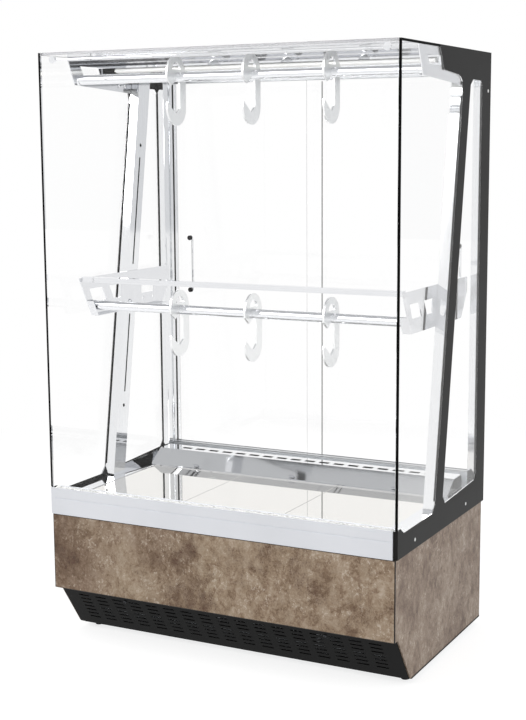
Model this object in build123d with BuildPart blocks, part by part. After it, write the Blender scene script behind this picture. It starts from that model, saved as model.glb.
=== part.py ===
# %% [markdown]
# Deli display case: a glass cabinet on a refrigerated base, with two hanging rails and six hooks.
# Millimetres, +Z up, origin on the floor under the middle of the case, front towards -Y.

# %% Driving dimensions
import os
from math import atan2, cos, pi, sin

from build123d import *

os.makedirs("parts", exist_ok=True)

WIDTH = 1000.0  # over the black side frames
DEPTH = 640.0  # front rail to the back of the door track
HANDLE_REACH = 18.0  # the rear door handle stands this far off its glass
DOOR_BACK_GAP = 5.0  # the outer door's glass lies this far inside the depth
OVERALL_DEPTH = DEPTH - DOOR_BACK_GAP + HANDLE_REACH
HEIGHT = 1570.0  # floor to the top of the glass
FOOT_HEIGHT = 20.0

BASE_TOP = 354.0  # upper edge of the laminate panels
RAIL_TOP = 426.0  # upper edge of the pale front rail
DECK_TOP = 402.0  # upper face of the display plates
LEDGE_TOP = 404.0  # stainless surround of the plates
GRILLE_TOP = 148.0  # lower edge of the laminate front
GRILLE_HIGH = (22.0, 147.0)  # outer face of the slanted grille at its top
GRILLE_LOW = (110.5, 18.5)  # and at its foot, where the toe space goes back

LAMINATE = 16.0
BASE_HALF = 495.0
HALF = WIDTH / 2
FRAME_DEPTH = 12.0  # thickness of the black frame below the glass
PANE = 6.0  # side and top glass; the black frame is as thick and lies in one plane with it
PANE_IN = HALF - PANE
FRONT_PANE = 8.0
LEG_SLOPE = 0.159  # the slanted leg leans back this much for each unit of height

TUBE_R = 12.5
RAIL_D = 165.5  # hanging tube, measured from the front face
MID_RAIL_Z = 905.0
TOP_RAIL_Z = 1507.0
HOOK_X = (-184.0, 35.0, 255.0)
HOOK_T = 5.0
SEAT_CLEARANCE = 0.06

GAP = 0.2  # shadow gap between pieces that touch
PANE_GAP = 0.3  # gap round a pane in its frame
SMALL_SIDES = 14  # small round parts are drawn with this many flats


def y_at(d):
    """Y of a point that lies d behind the front face."""
    return d - OVERALL_DEPTH / 2


def outline(points):
    """Points given as (distance from the front, height) in sketch coordinates."""
    return [(y_at(d), z) for d, z in points]


def save(part, name):
    part.label = name
    export_step(part, f"parts/{name}.step")


def side_plate(points, x_low, x_high, holes=()):
    """A plate cut to an outline seen from the side, lying between two values of X."""
    with BuildPart() as plate:
        with BuildSketch(Plane.YZ.offset(x_low)):
            with BuildLine():
                Polyline(*outline(points), close=True)
            make_face()
            for hole in holes:
                with BuildLine():
                    Polyline(*outline(hole), close=True)
                make_face(mode=Mode.SUBTRACT)
        extrude(amount=x_high - x_low)
    return plate.part


def block(x0, x1, d0, d1, z0, z1):
    """A cuboid between two X, two distances from the front and two heights."""
    with BuildPart() as body:
        with Locations(((x0 + x1) / 2, y_at((d0 + d1) / 2), (z0 + z1) / 2)):
            Box(x1 - x0, d1 - d0, z1 - z0)
    return body.part


def mirrored(part):
    """The piece for the other side of the case."""
    return mirror(part, about=Plane.YZ)


def union(*parts):
    """Several solids kept as one piece."""
    with BuildPart() as group:
        for part in parts:
            add(part)
    return group.part


# %% Laminate panels
# The two side panels lose their lower front corner, where the grille slants back under the case
# and covers their slanted edges.
GRILLE_LEAN = (GRILLE_LOW[0] - GRILLE_HIGH[0]) / (GRILLE_HIGH[1] - GRILLE_LOW[1])
EDGE_SETBACK = 2.6  # the panels end this far behind the outer face of the grille


def grille_d(z, behind=0.0):
    """Distance from the front of the grille's outer face at a height."""
    return GRILLE_HIGH[0] + (GRILLE_HIGH[1] - z) * GRILLE_LEAN + behind


SIDE_OUTLINE = [(0.4, GRILLE_TOP), (grille_d(GRILLE_TOP, EDGE_SETBACK), GRILLE_TOP),
                (grille_d(FOOT_HEIGHT, EDGE_SETBACK), FOOT_HEIGHT), (DEPTH - 4, FOOT_HEIGHT),
                (DEPTH - 4, BASE_TOP), (0.4, BASE_TOP)]
with BuildPart() as side_panel:
    add(side_plate(SIDE_OUTLINE, BASE_HALF - LAMINATE, BASE_HALF))
    inner_front = side_panel.edges().filter_by(Axis.Z).group_by(Axis.Y)[0].sort_by(Axis.X)[0]
    chamfer(inner_front, LAMINATE - 0.1)
    bottom_edges = side_panel.faces().sort_by(Axis.Z)[0].edges().filter_by(Axis.Y)
    chamfer(bottom_edges, 0.8)
save(side_panel.part, "side_panel_right")
save(mirrored(side_panel.part), "side_panel_left")

with BuildPart() as front_panel:
    add(block(-BASE_HALF, BASE_HALF, 0, LAMINATE, GRILLE_TOP, BASE_TOP - 0.4))
    mitres = front_panel.faces().sort_by(Axis.Y)[-1].edges().filter_by(Axis.Z)
    chamfer(mitres, LAMINATE - 0.1)
    chamfer(front_panel.faces().sort_by(Axis.Y)[0].edges().filter_by(Axis.X), 0.8)
save(front_panel.part, "front_panel")

# %% Slanted grille
# A folded sheet in front of the slanted panel edges, with 17 columns and 7 rows of air slots. Its two
# returns go back between the side panels.
GRILLE_T = 1.5
GRILLE_HALF = BASE_HALF - LAMINATE - 0.5
SHEET_HALF = 491.0
LOW_RETURN_D = 131.0  # the foot return goes back under the floor pan
HIGH_RETURN_D = 44.0
SLOT_LENGTH = 33.0
SLOT_HEIGHT = 5.0
SLOT_COLUMNS = 17
SLOT_ROWS = 7
COLUMN_PITCH = 53.6
ROW_PITCH = 15.6
ROWS_UP = 2.6  # the rows sit this far above the middle of the sheet
grille_low = Vector(0, y_at(GRILLE_LOW[0]), GRILLE_LOW[1])
grille_high = Vector(0, y_at(GRILLE_HIGH[0]), GRILLE_HIGH[1])
grille_rise = (grille_high - grille_low).normalized()
grille_length = (grille_high - grille_low).length
grille_plane = Plane(origin=(grille_low + grille_high) * 0.5, x_dir=(1, 0, 0),
                     z_dir=Vector(1, 0, 0).cross(grille_rise))
with BuildPart() as louvre_grille:
    with BuildSketch(Plane.YZ.offset(-GRILLE_HALF)):
        with BuildLine():
            Polyline(*outline([(LOW_RETURN_D, GRILLE_LOW[1]), GRILLE_LOW, GRILLE_HIGH,
                               (HIGH_RETURN_D, GRILLE_HIGH[1])]))
            offset(amount=GRILLE_T, side=Side.RIGHT)
        make_face()
    extrude(amount=2 * GRILLE_HALF)
    with BuildSketch(grille_plane):
        Rectangle(2 * SHEET_HALF, grille_length - 2)
    extrude(amount=-GRILLE_T)
    with BuildSketch(grille_plane):
        with Locations((0, ROWS_UP)):
            with GridLocations(COLUMN_PITCH, ROW_PITCH, SLOT_COLUMNS, SLOT_ROWS):
                Rectangle(SLOT_LENGTH, SLOT_HEIGHT)
    extrude(amount=6, both=True, mode=Mode.SUBTRACT)
save(louvre_grille.part, "louvre_grille")

# %% Chassis
# A galvanised floor pan carries the machinery and the feet; its four posts carry the well.
PAN_T = 2.0
PAN_RIM = 40.0
PAN_D0 = LOW_RETURN_D + 2
PAN_D1 = DEPTH - 8
PAN_Z = FOOT_HEIGHT + 4
FOOT_X = 462.0
FEET = [(sx * FOOT_X, d) for sx in (-1, 1) for d in (157.0, 600.0)]
STEM_R = 5.0
WELL_Z = 262.0
POST = 22.0
POST_PLACES = (200.0, 559.0)  # middles of the front and the rear pair of chassis posts
with BuildPart() as chassis_pan:
    add(block(-GRILLE_HALF, GRILLE_HALF, PAN_D0, PAN_D1, PAN_Z, PAN_Z + PAN_RIM))
    open_top = chassis_pan.faces().sort_by(Axis.Z)[-1]
    offset(amount=-PAN_T, openings=open_top)
    with BuildSketch(Plane.XY.offset(PAN_Z)):
        with Locations(*[(x, y_at(d)) for x, d in FEET]):
            RegularPolygon(STEM_R + 0.1, SMALL_SIDES, major_radius=False)
    extrude(amount=15, both=True, mode=Mode.SUBTRACT)
    corner_x = GRILLE_HALF - PAN_T - POST / 2
    with BuildSketch(Plane.XY.offset(PAN_Z + PAN_T)):
        with Locations(*[(sx * corner_x, y_at(d)) for sx in (-1, 1) for d in POST_PLACES]):
            Rectangle(POST, POST)
    extrude(amount=WELL_Z - PAN_Z - PAN_T - GAP)
save(chassis_pan.part, "chassis_pan")

# %% Levelling feet
PAD_R = 10.0
PAD_H = 8.0
PAD_SIDES = 20
STEM_TOP = 59.0
with BuildPart() as foot:
    with BuildSketch():
        RegularPolygon(PAD_R, PAD_SIDES)
    extrude(amount=PAD_H, taper=14)
    with BuildSketch(Plane.XY.offset(PAD_H)):
        RegularPolygon(STEM_R, SMALL_SIDES)
    extrude(amount=STEM_TOP - PAD_H)
save(union(*[Pos(x, y_at(d), 0) * foot.part for x, d in FEET]), "levelling_feet")

# %% Rear service panel
# Louvred sheet with a square cut-out for the control box.
REAR_D = DEPTH - 5
CONTROL_X = 300.0
CONTROL_Z = 270.0
CONTROL_W = 150.0
CONTROL_H = 60.0
SHEET = 1.5
LOUVRE_W = 160.0
LOUVRE_H = 7.0
with BuildPart() as rear_panel:
    add(block(-GRILLE_HALF, GRILLE_HALF, REAR_D - SHEET, REAR_D, FOOT_HEIGHT + 2, BASE_TOP - 1))
    with BuildSketch(Plane.XZ.offset(-y_at(REAR_D))):
        with Locations((CONTROL_X, CONTROL_Z)):
            Rectangle(CONTROL_W + 0.6, CONTROL_H + 0.6)
        with Locations((-150, 130)):
            with GridLocations(190, 18, 2, 9):
                Rectangle(LOUVRE_W, LOUVRE_H)
    extrude(amount=8, both=True, mode=Mode.SUBTRACT)
save(rear_panel.part, "rear_panel")

# %% Insulated well under the display plates
# Foamed tub that holds the evaporator; a spout drains it into the tray below.
WELL_HALF = 476.0
WELL_D0 = 34.0
WELL_D1 = 596.0
WELL_WALL = 28.0
WELL_RIM = DECK_TOP - 6.7
DRAIN_X = -250.0
DRAIN_D = 300.0
DRAIN_R = 11.0
DRAIN_L = 70.0
with BuildPart() as insulated_well:
    add(block(-WELL_HALF, WELL_HALF, WELL_D0, WELL_D1, WELL_Z, WELL_RIM))
    add(block(-WELL_HALF + WELL_WALL, WELL_HALF - WELL_WALL, WELL_D0 + WELL_WALL, WELL_D1 - WELL_WALL,
              WELL_Z + WELL_WALL, WELL_RIM + 5), mode=Mode.SUBTRACT)
    with BuildSketch(Plane.XY.offset(WELL_Z)):
        with Locations((DRAIN_X, y_at(DRAIN_D))):
            RegularPolygon(DRAIN_R, SMALL_SIDES)
    extrude(amount=-DRAIN_L)
    with BuildSketch(Plane.XY.offset(WELL_Z)):
        with Locations((DRAIN_X, y_at(DRAIN_D))):
            RegularPolygon(DRAIN_R - 2, SMALL_SIDES)
    extrude(amount=100, both=True, mode=Mode.SUBTRACT)
save(insulated_well.part, "insulated_well")

# Stainless surround: flat ledge round one wide opening, with a lower lip that carries the plates
# and a skirt that stands on the rim of the well.
PLATE_HALF = 442.0
PLATE_D0 = 48.0
PLATE_D1 = 436.0
LEDGE_HALF = PANE_IN - 1.0
RISER_D = 441.0
AIR_HALF = 459.0
TRACK_D0 = 600.0
LIP = 8.0
LIP_TOP = DECK_TOP - 5
with BuildPart() as deck_surround:
    add(block(-LEDGE_HALF, LEDGE_HALF, 34.5, RISER_D, LEDGE_TOP - 2, LEDGE_TOP))
    for sx in (-1, 1):
        inner, outer = sorted((sx * (AIR_HALF + 0.5), sx * LEDGE_HALF))
        add(block(inner, outer, RISER_D - 5, TRACK_D0 - 0.5, LEDGE_TOP - 2, LEDGE_TOP))
        inner, outer = sorted((sx * (WELL_HALF - 3), sx * (WELL_HALF - 1)))
        add(block(inner, outer, 36, TRACK_D0 - 0.5, WELL_RIM + 0.2, LEDGE_TOP - 1))
    add(block(-PLATE_HALF, PLATE_HALF, PLATE_D0, PLATE_D1, LEDGE_TOP - 5, LEDGE_TOP + 5), mode=Mode.SUBTRACT)
    for x0, x1, d0, d1 in ((-PLATE_HALF, -PLATE_HALF + LIP, PLATE_D0, PLATE_D1),
                           (PLATE_HALF - LIP, PLATE_HALF, PLATE_D0, PLATE_D1),
                           (-PLATE_HALF, PLATE_HALF, PLATE_D0, PLATE_D0 + LIP),
                           (-PLATE_HALF, PLATE_HALF, PLATE_D1 - LIP, PLATE_D1)):
        add(block(x0, x1, d0, d1, LIP_TOP - SHEET, LIP_TOP))
    for x0, x1, d0, d1 in ((-PLATE_HALF - SHEET, -PLATE_HALF, PLATE_D0 - SHEET, PLATE_D1 + SHEET),
                           (PLATE_HALF, PLATE_HALF + SHEET, PLATE_D0 - SHEET, PLATE_D1 + SHEET),
                           (-PLATE_HALF, PLATE_HALF, PLATE_D0 - SHEET, PLATE_D0),
                           (-PLATE_HALF, PLATE_HALF, PLATE_D1, PLATE_D1 + SHEET)):
        add(block(x0, x1, d0, d1, LIP_TOP - SHEET, LEDGE_TOP - 1))
save(deck_surround.part, "deck_surround")

# Three lift-out display plates with turned-down edges.
PLATE_COUNT = 3
plate_width = 2 * PLATE_HALF / PLATE_COUNT
for number, name in enumerate(("left", "middle", "right")):
    x0 = -PLATE_HALF + number * plate_width + 0.7
    x1 = x0 + plate_width - 1.4
    with BuildPart() as plate:
        add(block(x0, x1, PLATE_D0 + 0.8, PLATE_D1 - 0.8, DECK_TOP - 4.8, DECK_TOP))
        offset(amount=-1.2, openings=plate.faces().sort_by(Axis.Z)[0])
        chamfer(plate.faces().sort_by(Axis.Z)[-1].edges(), 0.8)
    save(plate.part, f"deck_plate_{name}")

# Slanted air riser and slotted ledge behind the plates, folded from one sheet.
AIR_TOP = 441.0
AIR_D = 500.0
AIR_BACK = 558.0
AIR_FOOT = 569.0
AIR_SLOTS = 18
AIR_PITCH = 44.8
AIR_SLOT = (30.0, 16.0)
AIR_SLOT_D = 26.0  # the slots lie this far behind the front fold
RISER_FOLD = 6.0  # the sheet lies flat for this much before it rises
with BuildPart() as air_ledge:
    with BuildSketch(Plane.YZ.offset(-AIR_HALF)):
        with BuildLine():
            Polyline(*outline([(RISER_D + 0.4, LEDGE_TOP), (RISER_D + RISER_FOLD, LEDGE_TOP),
                               (AIR_D, AIR_TOP), (AIR_BACK, AIR_TOP), (AIR_FOOT, WELL_RIM + 0.8)]))
            offset(amount=SHEET, side=Side.RIGHT)
        make_face()
    extrude(amount=2 * AIR_HALF)
    with BuildSketch(Plane.XY.offset(AIR_TOP)):
        with Locations((0, y_at(AIR_D + AIR_SLOT_D))):
            with GridLocations(AIR_PITCH, 10, AIR_SLOTS, 1):
                Rectangle(*AIR_SLOT)
    extrude(amount=6, both=True, mode=Mode.SUBTRACT)
save(air_ledge.part, "air_ledge")

# Three spring clips hold the riser down.
CLIP_X = (-310.0, 0.0, 310.0)
CLIP = (18.0, 8.0)
riser_angle = atan2(AIR_TOP - LEDGE_TOP, AIR_D - RISER_D - RISER_FOLD)
with BuildPart() as riser_clips:
    for x in CLIP_X:
        on_riser = Plane(origin=(x, y_at(RISER_D + 12), LEDGE_TOP + 5.2), x_dir=(1, 0, 0),
                         z_dir=(0, -sin(riser_angle), cos(riser_angle)))
        with BuildSketch(on_riser.offset(1.75)) as clip:
            Rectangle(*CLIP)
            chamfer(clip.vertices(), 2.4)
        extrude(amount=SHEET)
save(riser_clips.part, "riser_clips")

# %% Front rail
# Folded pale sheet: two steps with a groove between, a top flange for the glass and a drop lip.
RAIL_HALF = HALF - FRAME_DEPTH - 0.4
RAIL_BACK = 32.0
GROOVE_Z = 398.0
RAIL_T = 2.5
with BuildPart() as front_rail:
    with BuildSketch(Plane.YZ.offset(-RAIL_HALF)):
        with BuildLine():
            Polyline(*outline([(0, BASE_TOP), (0, GROOVE_Z - 1.5), (1.6, GROOVE_Z - 1.5),
                               (1.6, GROOVE_Z + 1.5), (0, GROOVE_Z + 1.5), (0, RAIL_TOP), (RAIL_BACK, RAIL_TOP),
                               (RAIL_BACK, LEDGE_TOP + 1), (RAIL_BACK - RAIL_T, LEDGE_TOP + 1),
                               (RAIL_BACK - RAIL_T, RAIL_TOP - RAIL_T),
                               (4, RAIL_TOP - RAIL_T), (4, BASE_TOP + RAIL_T), (14, BASE_TOP + RAIL_T),
                               (14, BASE_TOP)]), close=True)
        make_face()
    extrude(amount=2 * RAIL_HALF)
    add(block(-HALF, -RAIL_HALF + 0.1, 0, 3.6, BASE_TOP, RAIL_TOP))
save(front_rail.part, "front_rail")

# %% Black side frames
# One flat plate in the plane of the side glass: foot band, leg slanting back, upright rear leg and top
# web. The band is thicker below the glass, where it closes the gap over the laminate.
LEG_FRONT = (257.0, 432.0)
BAND_TOP = 401.0
WEB_D = 250.0  # the top web begins here at the glass top
FRAME_FOOT = BASE_TOP + 0.3
WINDOW = [(328, 419.5), (558, 430), (572, 447), (570, 1482), (557, 1495), (498, 1496), (478, 1482),
          (311, 441)]
FRAME_OUTLINE = [(4, FRAME_FOOT), (4, 428), (21, 428), (42, 413), (239, 413), LEG_FRONT, (421, 1464),
                 (416, 1488), (401, 1500), (384, 1504), (283, 1511), (WEB_D, HEIGHT), (DEPTH, HEIGHT),
                 (DEPTH, FRAME_FOOT)]
CAP_PLACES = ((118.0, 377.0), (492.0, 379.0), (619.0, 1470.0))
CAP_R = 4.6
CAP_SEAT = 2.6
with BuildPart() as side_frame:
    add(side_plate(FRAME_OUTLINE, PANE_IN, HALF, holes=[WINDOW]))
    add(block(HALF - FRAME_DEPTH, PANE_IN, 4, DEPTH, FRAME_FOOT, BAND_TOP))
    add(block(HALF - FRAME_DEPTH, PANE_IN, 4, FRONT_PANE + 0.8, BAND_TOP - 1, RAIL_TOP))
    with BuildSketch(Plane.YZ.offset(HALF)):
        with Locations(*outline(CAP_PLACES)):
            RegularPolygon(CAP_R + 0.2, SMALL_SIDES, major_radius=False)
    extrude(amount=-CAP_SEAT, mode=Mode.SUBTRACT)
save(side_frame.part, "side_frame_right")
save(mirrored(side_frame.part), "side_frame_left")

# Flush caps over the frame screws.
with BuildPart() as cap_set:
    with BuildSketch(Plane.YZ.offset(HALF)):
        with Locations(*outline(CAP_PLACES)):
            RegularPolygon(CAP_R, SMALL_SIDES)
    extrude(amount=-CAP_SEAT)
save(union(cap_set.part, mirrored(cap_set.part)), "screw_caps")

# %% Glass
# Each side has two panes in the plane of the frame: one before the slanted leg, one in the window.
TOP_PANE_Z = HEIGHT - PANE
GLASS_HALF = PANE_IN - PANE_GAP  # front and top glass lie between the side walls
CORNER_D = 4.0  # the black corner joint reaches this far round the side
SIDE_PANE_TOP = TOP_PANE_Z - 0.4
FRONT_PANE_BACK = 500.0  # past the leg, which cuts the front pane
with BuildPart() as side_panes:
    with BuildSketch(Plane.YZ.offset(PANE_IN)):
        with BuildLine():
            Polyline(*outline([(CORNER_D + PANE_GAP, BAND_TOP), (CORNER_D + PANE_GAP, SIDE_PANE_TOP),
                               (FRONT_PANE_BACK, SIDE_PANE_TOP), (FRONT_PANE_BACK, BAND_TOP)]), close=True)
        make_face()
        with BuildSketch(mode=Mode.PRIVATE) as frame_shape:
            with BuildLine():
                Polyline(*outline(FRAME_OUTLINE), close=True)
            make_face()
            offset(amount=PANE_GAP, kind=Kind.INTERSECTION)
        add(frame_shape.sketch, mode=Mode.SUBTRACT)
        with BuildSketch(mode=Mode.PRIVATE) as window_shape:
            with BuildLine():
                Polyline(*outline(WINDOW), close=True)
            make_face()
            offset(amount=-PANE_GAP, kind=Kind.INTERSECTION)
        add(window_shape.sketch)
    extrude(amount=PANE)
save(union(side_panes.part, mirrored(side_panes.part)), "glass_sides")
save(block(-GLASS_HALF, GLASS_HALF, 0.4, FRONT_PANE, RAIL_TOP + 0.2, HEIGHT), "glass_front")
save(block(-GLASS_HALF, GLASS_HALF, FRONT_PANE + 0.3, DEPTH, TOP_PANE_Z, HEIGHT), "glass_top")

# Black bonded joints: an upright strip at each front corner and one along each top side edge, up to the
# web of the frame.
with BuildPart() as joint:
    add(block(PANE_IN + PANE_GAP, HALF - 0.1, 0.4, CORNER_D, 428.2, HEIGHT))
    add(block(PANE_IN + PANE_GAP, HALF - 0.1, CORNER_D - 0.1, WEB_D - 0.5, TOP_PANE_Z - 0.2, HEIGHT))
save(union(joint.part, mirrored(joint.part)), "glass_joints")

# %% Polished posts
# Slanted slotted box posts stand just inside the glass and follow the black leg.
POST_IN = 464.0
POST_OUT = PANE_IN - GAP
POST_DEPTH = 57.0
POST_WALL = 2.0
POST_FOOT = LEDGE_TOP + 0.2
POST_HEAD = TOP_PANE_Z - 0.4


def leg_d(z, behind=0.0):
    """Distance from the front of the slanted leg's front edge at a height."""
    return LEG_FRONT[0] + (z - LEG_FRONT[1]) * LEG_SLOPE + behind


def leg_band(z0, z1, d0, d1):
    """A strip that leans like the leg, between two offsets behind its front edge."""
    return [(leg_d(z0, d0), z0), (leg_d(z1, d0), z1), (leg_d(z1, d1), z1), (leg_d(z0, d1), z0)]


SLOTS = ((640.0, 860.0), (1000.0, 1300.0))
SLOT_W = 6.0
PEG_HOLES = (601.0, 1334.0)
PEG_HOLE_R = 5.0
mid_post = POST_DEPTH / 2
with BuildPart() as post:
    add(side_plate(leg_band(POST_FOOT, POST_HEAD, 0, POST_DEPTH), POST_IN, POST_OUT))
    add(side_plate(leg_band(POST_FOOT - 5, POST_HEAD + 5, POST_WALL, POST_DEPTH - POST_WALL),
                   POST_IN + POST_WALL, POST_OUT - POST_WALL), mode=Mode.SUBTRACT)
    for z0, z1 in SLOTS:
        add(side_plate(leg_band(z0, z1, mid_post - SLOT_W / 2, mid_post + SLOT_W / 2), POST_IN - 1,
                       POST_IN + POST_WALL + 1), mode=Mode.SUBTRACT)
    with BuildSketch(Plane.YZ.offset(POST_IN - 1)):
        with Locations(*outline([(leg_d(z, mid_post), z) for z in PEG_HOLES])):
            RegularPolygon(PEG_HOLE_R, SMALL_SIDES)
    extrude(amount=POST_WALL + 2, mode=Mode.SUBTRACT)
save(union(post.part, mirrored(post.part)), "slanted_posts")

REAR_POST_D0 = 570.2
REAR_POST_D1 = 599.5
REAR_POST_X = 482.0
REAR_POST_W = 20.0
with BuildPart() as rear_post:
    with BuildSketch(Plane.XY.offset(POST_FOOT)) as tube_shape:
        with Locations((REAR_POST_X, y_at((REAR_POST_D0 + REAR_POST_D1) / 2))):
            Rectangle(REAR_POST_W, REAR_POST_D1 - REAR_POST_D0)
            chamfer(tube_shape.vertices(), 1)
            Rectangle(REAR_POST_W - 2 * POST_WALL, REAR_POST_D1 - REAR_POST_D0 - 2 * POST_WALL,
                      mode=Mode.SUBTRACT)
    extrude(amount=POST_HEAD - POST_FOOT)
save(union(rear_post.part, mirrored(rear_post.part)), "rear_posts")

# %% Rear door track
# Head and sill are extrusions with two grooves each; the inner door runs in the front groove.
# The sill has two legs that reach down to the base.
TRACK_HALF = PANE_IN - 0.5
INNER_DOOR_D = 607.5
OUTER_DOOR_D = DEPTH - DOOR_BACK_GAP - 2.5
GROOVE = 8.0
HEAD_GROOVE = 34.0  # the doors lift into the deep head groove
SILL_GROOVE = 16.0
SKIRT_T = 3.0
HEAD_Z = 1512.0
SILL_Z = 438.0
SILL_SKIRT = HALF - FRAME_DEPTH - 0.5
with BuildPart() as door_head:
    add(block(-TRACK_HALF, TRACK_HALF, TRACK_D0, DEPTH, HEAD_Z, POST_HEAD))
    for d in (INNER_DOOR_D, OUTER_DOOR_D):
        add(block(-TRACK_HALF - 1, TRACK_HALF + 1, d - GROOVE / 2, d + GROOVE / 2, HEAD_Z - 1,
                  HEAD_Z + HEAD_GROOVE), mode=Mode.SUBTRACT)
save(door_head.part, "door_head")
with BuildPart() as door_sill:
    add(block(-TRACK_HALF, TRACK_HALF, TRACK_D0, DEPTH, POST_FOOT, SILL_Z))
    for d in (TRACK_D0, DEPTH - SKIRT_T):
        add(block(-SILL_SKIRT, SILL_SKIRT, d, d + SKIRT_T, BASE_TOP + 0.5, POST_FOOT + 1))
    for d in (INNER_DOOR_D, OUTER_DOOR_D):
        add(block(-TRACK_HALF - 1, TRACK_HALF + 1, d - GROOVE / 2, d + GROOVE / 2, SILL_Z - SILL_GROOVE,
                  SILL_Z + 1), mode=Mode.SUBTRACT)
save(door_sill.part, "door_sill")

# %% Sliding glass doors
DOOR_T = 5.0
DOOR_SIDE = 465.5
DOOR_OVERLAP = 25.0
DOOR_FOOT = 431.0
DOOR_TOP = 1536.0
HANDLE_X = 425.0
HANDLE_Z = 981.0
HANDLE_CC = 156.0
BAR_R = 3.5
BOW_R = 8.0  # bend of the handle
BOW_CUT = BOW_R * (1 - cos(pi / 4))  # inset of the middle of the bend
ROSE_R = 8.0
SHOE_D = 6.6
SHOE_HALF = 22.0
SHOE_INSET = 60.0
# each door: sign of its side, distance of its glass from the front
for name, sign, door_d in (("left", -1, OUTER_DOOR_D), ("right", 1, INNER_DOOR_D)):
    inner_x, outer_x = -sign * DOOR_OVERLAP, sign * DOOR_SIDE
    with BuildPart() as door:
        add(block(min(inner_x, outer_x), max(inner_x, outer_x), door_d - DOOR_T / 2, door_d + DOOR_T / 2,
                  DOOR_FOOT, DOOR_TOP))
        chamfer(door.edges().filter_by(Axis.Z), 0.8)
    save(door.part, f"door_{name}")

    # Bow handle on the service side: a bent eight-sided bar with a rose at each end.
    glass_back = y_at(door_d + DOOR_T / 2)
    reach = HANDLE_REACH - BAR_R
    half_cc = HANDLE_CC / 2
    lower_half = [(0.1, -half_cc), (reach - BOW_R, -half_cc), (reach - BOW_CUT, BOW_CUT - half_cc),
                  (reach, BOW_R - half_cc)]
    bow_points = lower_half + [(out, -up) for out, up in reversed(lower_half)]
    with BuildPart() as door_handle:
        with BuildLine() as bow:
            Polyline(*[(sign * HANDLE_X, glass_back + out, HANDLE_Z + up) for out, up in bow_points])
        with BuildSketch(Plane(origin=bow.line @ 0, z_dir=bow.line % 0)):
            RegularPolygon(BAR_R, 8)
        sweep(path=bow.line, transition=Transition.RIGHT)
        for dz in (-half_cc, half_cc):
            rose_centre = (sign * HANDLE_X, glass_back + 0.1, HANDLE_Z + dz)
            with BuildSketch(Plane(origin=rose_centre, z_dir=(0, 1, 0))):
                RegularPolygon(ROSE_R, 12)
            extrude(amount=3)
    save(door_handle.part, f"door_handle_{name}")

    # Two plastic runner shoes under each door.
    with BuildPart() as shoes:
        for x in (inner_x + sign * SHOE_INSET, outer_x - sign * SHOE_INSET):
            add(block(x - SHOE_HALF, x + SHOE_HALF, door_d - SHOE_D / 2, door_d + SHOE_D / 2,
                      SILL_Z - SILL_GROOVE + 0.3, DOOR_FOOT + 5))
            add(block(x - SHOE_HALF - 1, x + SHOE_HALF + 1, door_d - DOOR_T / 2 - 0.05,
                      door_d + DOOR_T / 2 + 0.05, DOOR_FOOT - 0.1, DOOR_FOOT + 6), mode=Mode.SUBTRACT)
    save(shoes.part, f"door_shoes_{name}")

# Side jambs close the door opening.
jamb = block(DOOR_SIDE + 2.5, TRACK_HALF, TRACK_D0, DEPTH, SILL_Z + 0.2, HEAD_Z - 0.2)
save(union(jamb, mirrored(jamb)), "door_jambs")

# %% Hanging rails
# Middle brackets: pierced polished plates with a slanted nose, a lip below and a lip behind the nose.
BRACKET_T = 3.0
MID_PLATE = POST_IN - GAP
NOSE = [(103, 982), (162, 876)]
MID_OUTLINE = [NOSE[0], (568, 982), (568, 942), (525, 876), NOSE[1]]
MID_HOLES = [[(150, 950), (214, 950), (234, 913), (168, 913)],
             [(248, 950), (312, 950), (306, 913), (268, 913)],
             [(413, 946), (480, 946), (480, 913), (413, 913)],
             [(418, 903), (426, 903), (426, 895), (418, 895)],
             [(472, 903), (480, 903), (480, 895), (472, 895)]]
LIP_REACH = 20.0
NOSE_LIP_TOP = 918.0
FOOT_LIP_BACK = 524.0
FOOT_LIP_T = 2.0
nose_slope = (NOSE[1][0] - NOSE[0][0]) / (NOSE[0][1] - NOSE[1][1])


def nose_d(z):
    """Distance from the front of the bracket's slanted nose at a height."""
    return NOSE[1][0] - (z - NOSE[1][1]) * nose_slope


with BuildPart() as mid_bracket:
    add(side_plate(MID_OUTLINE, MID_PLATE - BRACKET_T, MID_PLATE, holes=MID_HOLES))
    lip_x = MID_PLATE - BRACKET_T - LIP_REACH
    nose_foot = NOSE[1][1]
    add(block(lip_x, MID_PLATE - BRACKET_T, NOSE[1][0], FOOT_LIP_BACK, nose_foot, nose_foot + FOOT_LIP_T))
    add(side_plate([(nose_d(nose_foot), nose_foot), (nose_d(NOSE_LIP_TOP), NOSE_LIP_TOP),
                    (nose_d(NOSE_LIP_TOP) + SHEET, NOSE_LIP_TOP), (nose_d(nose_foot) + SHEET, nose_foot)],
                   lip_x, MID_PLATE - BRACKET_T))
save(union(mid_bracket.part, mirrored(mid_bracket.part)), "mid_brackets")

# Top brackets hang from the side frames, close to the glass.
TOP_PLATE = PANE_IN - 1.2
TOP_FOOT = 1479.0
TOP_OUTLINE = [(118, POST_HEAD), (150, 1494), (leg_d(TOP_FOOT, -1.5), TOP_FOOT),
               (leg_d(POST_HEAD, -1.5), POST_HEAD)]
TOP_HOLES = [[(176, 1544), (262, 1544), (272, 1521), (190, 1521)]]
with BuildPart() as top_bracket:
    add(side_plate(TOP_OUTLINE, TOP_PLATE - BRACKET_T, TOP_PLATE, holes=TOP_HOLES))
save(union(top_bracket.part, mirrored(top_bracket.part)), "top_brackets")

TUBE_WALL = 1.5
SOCKET_R = 13.9
SOCKET_L = 9.0
mid_half = MID_PLATE - BRACKET_T - GAP
top_half = TOP_PLATE - BRACKET_T - GAP


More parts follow.
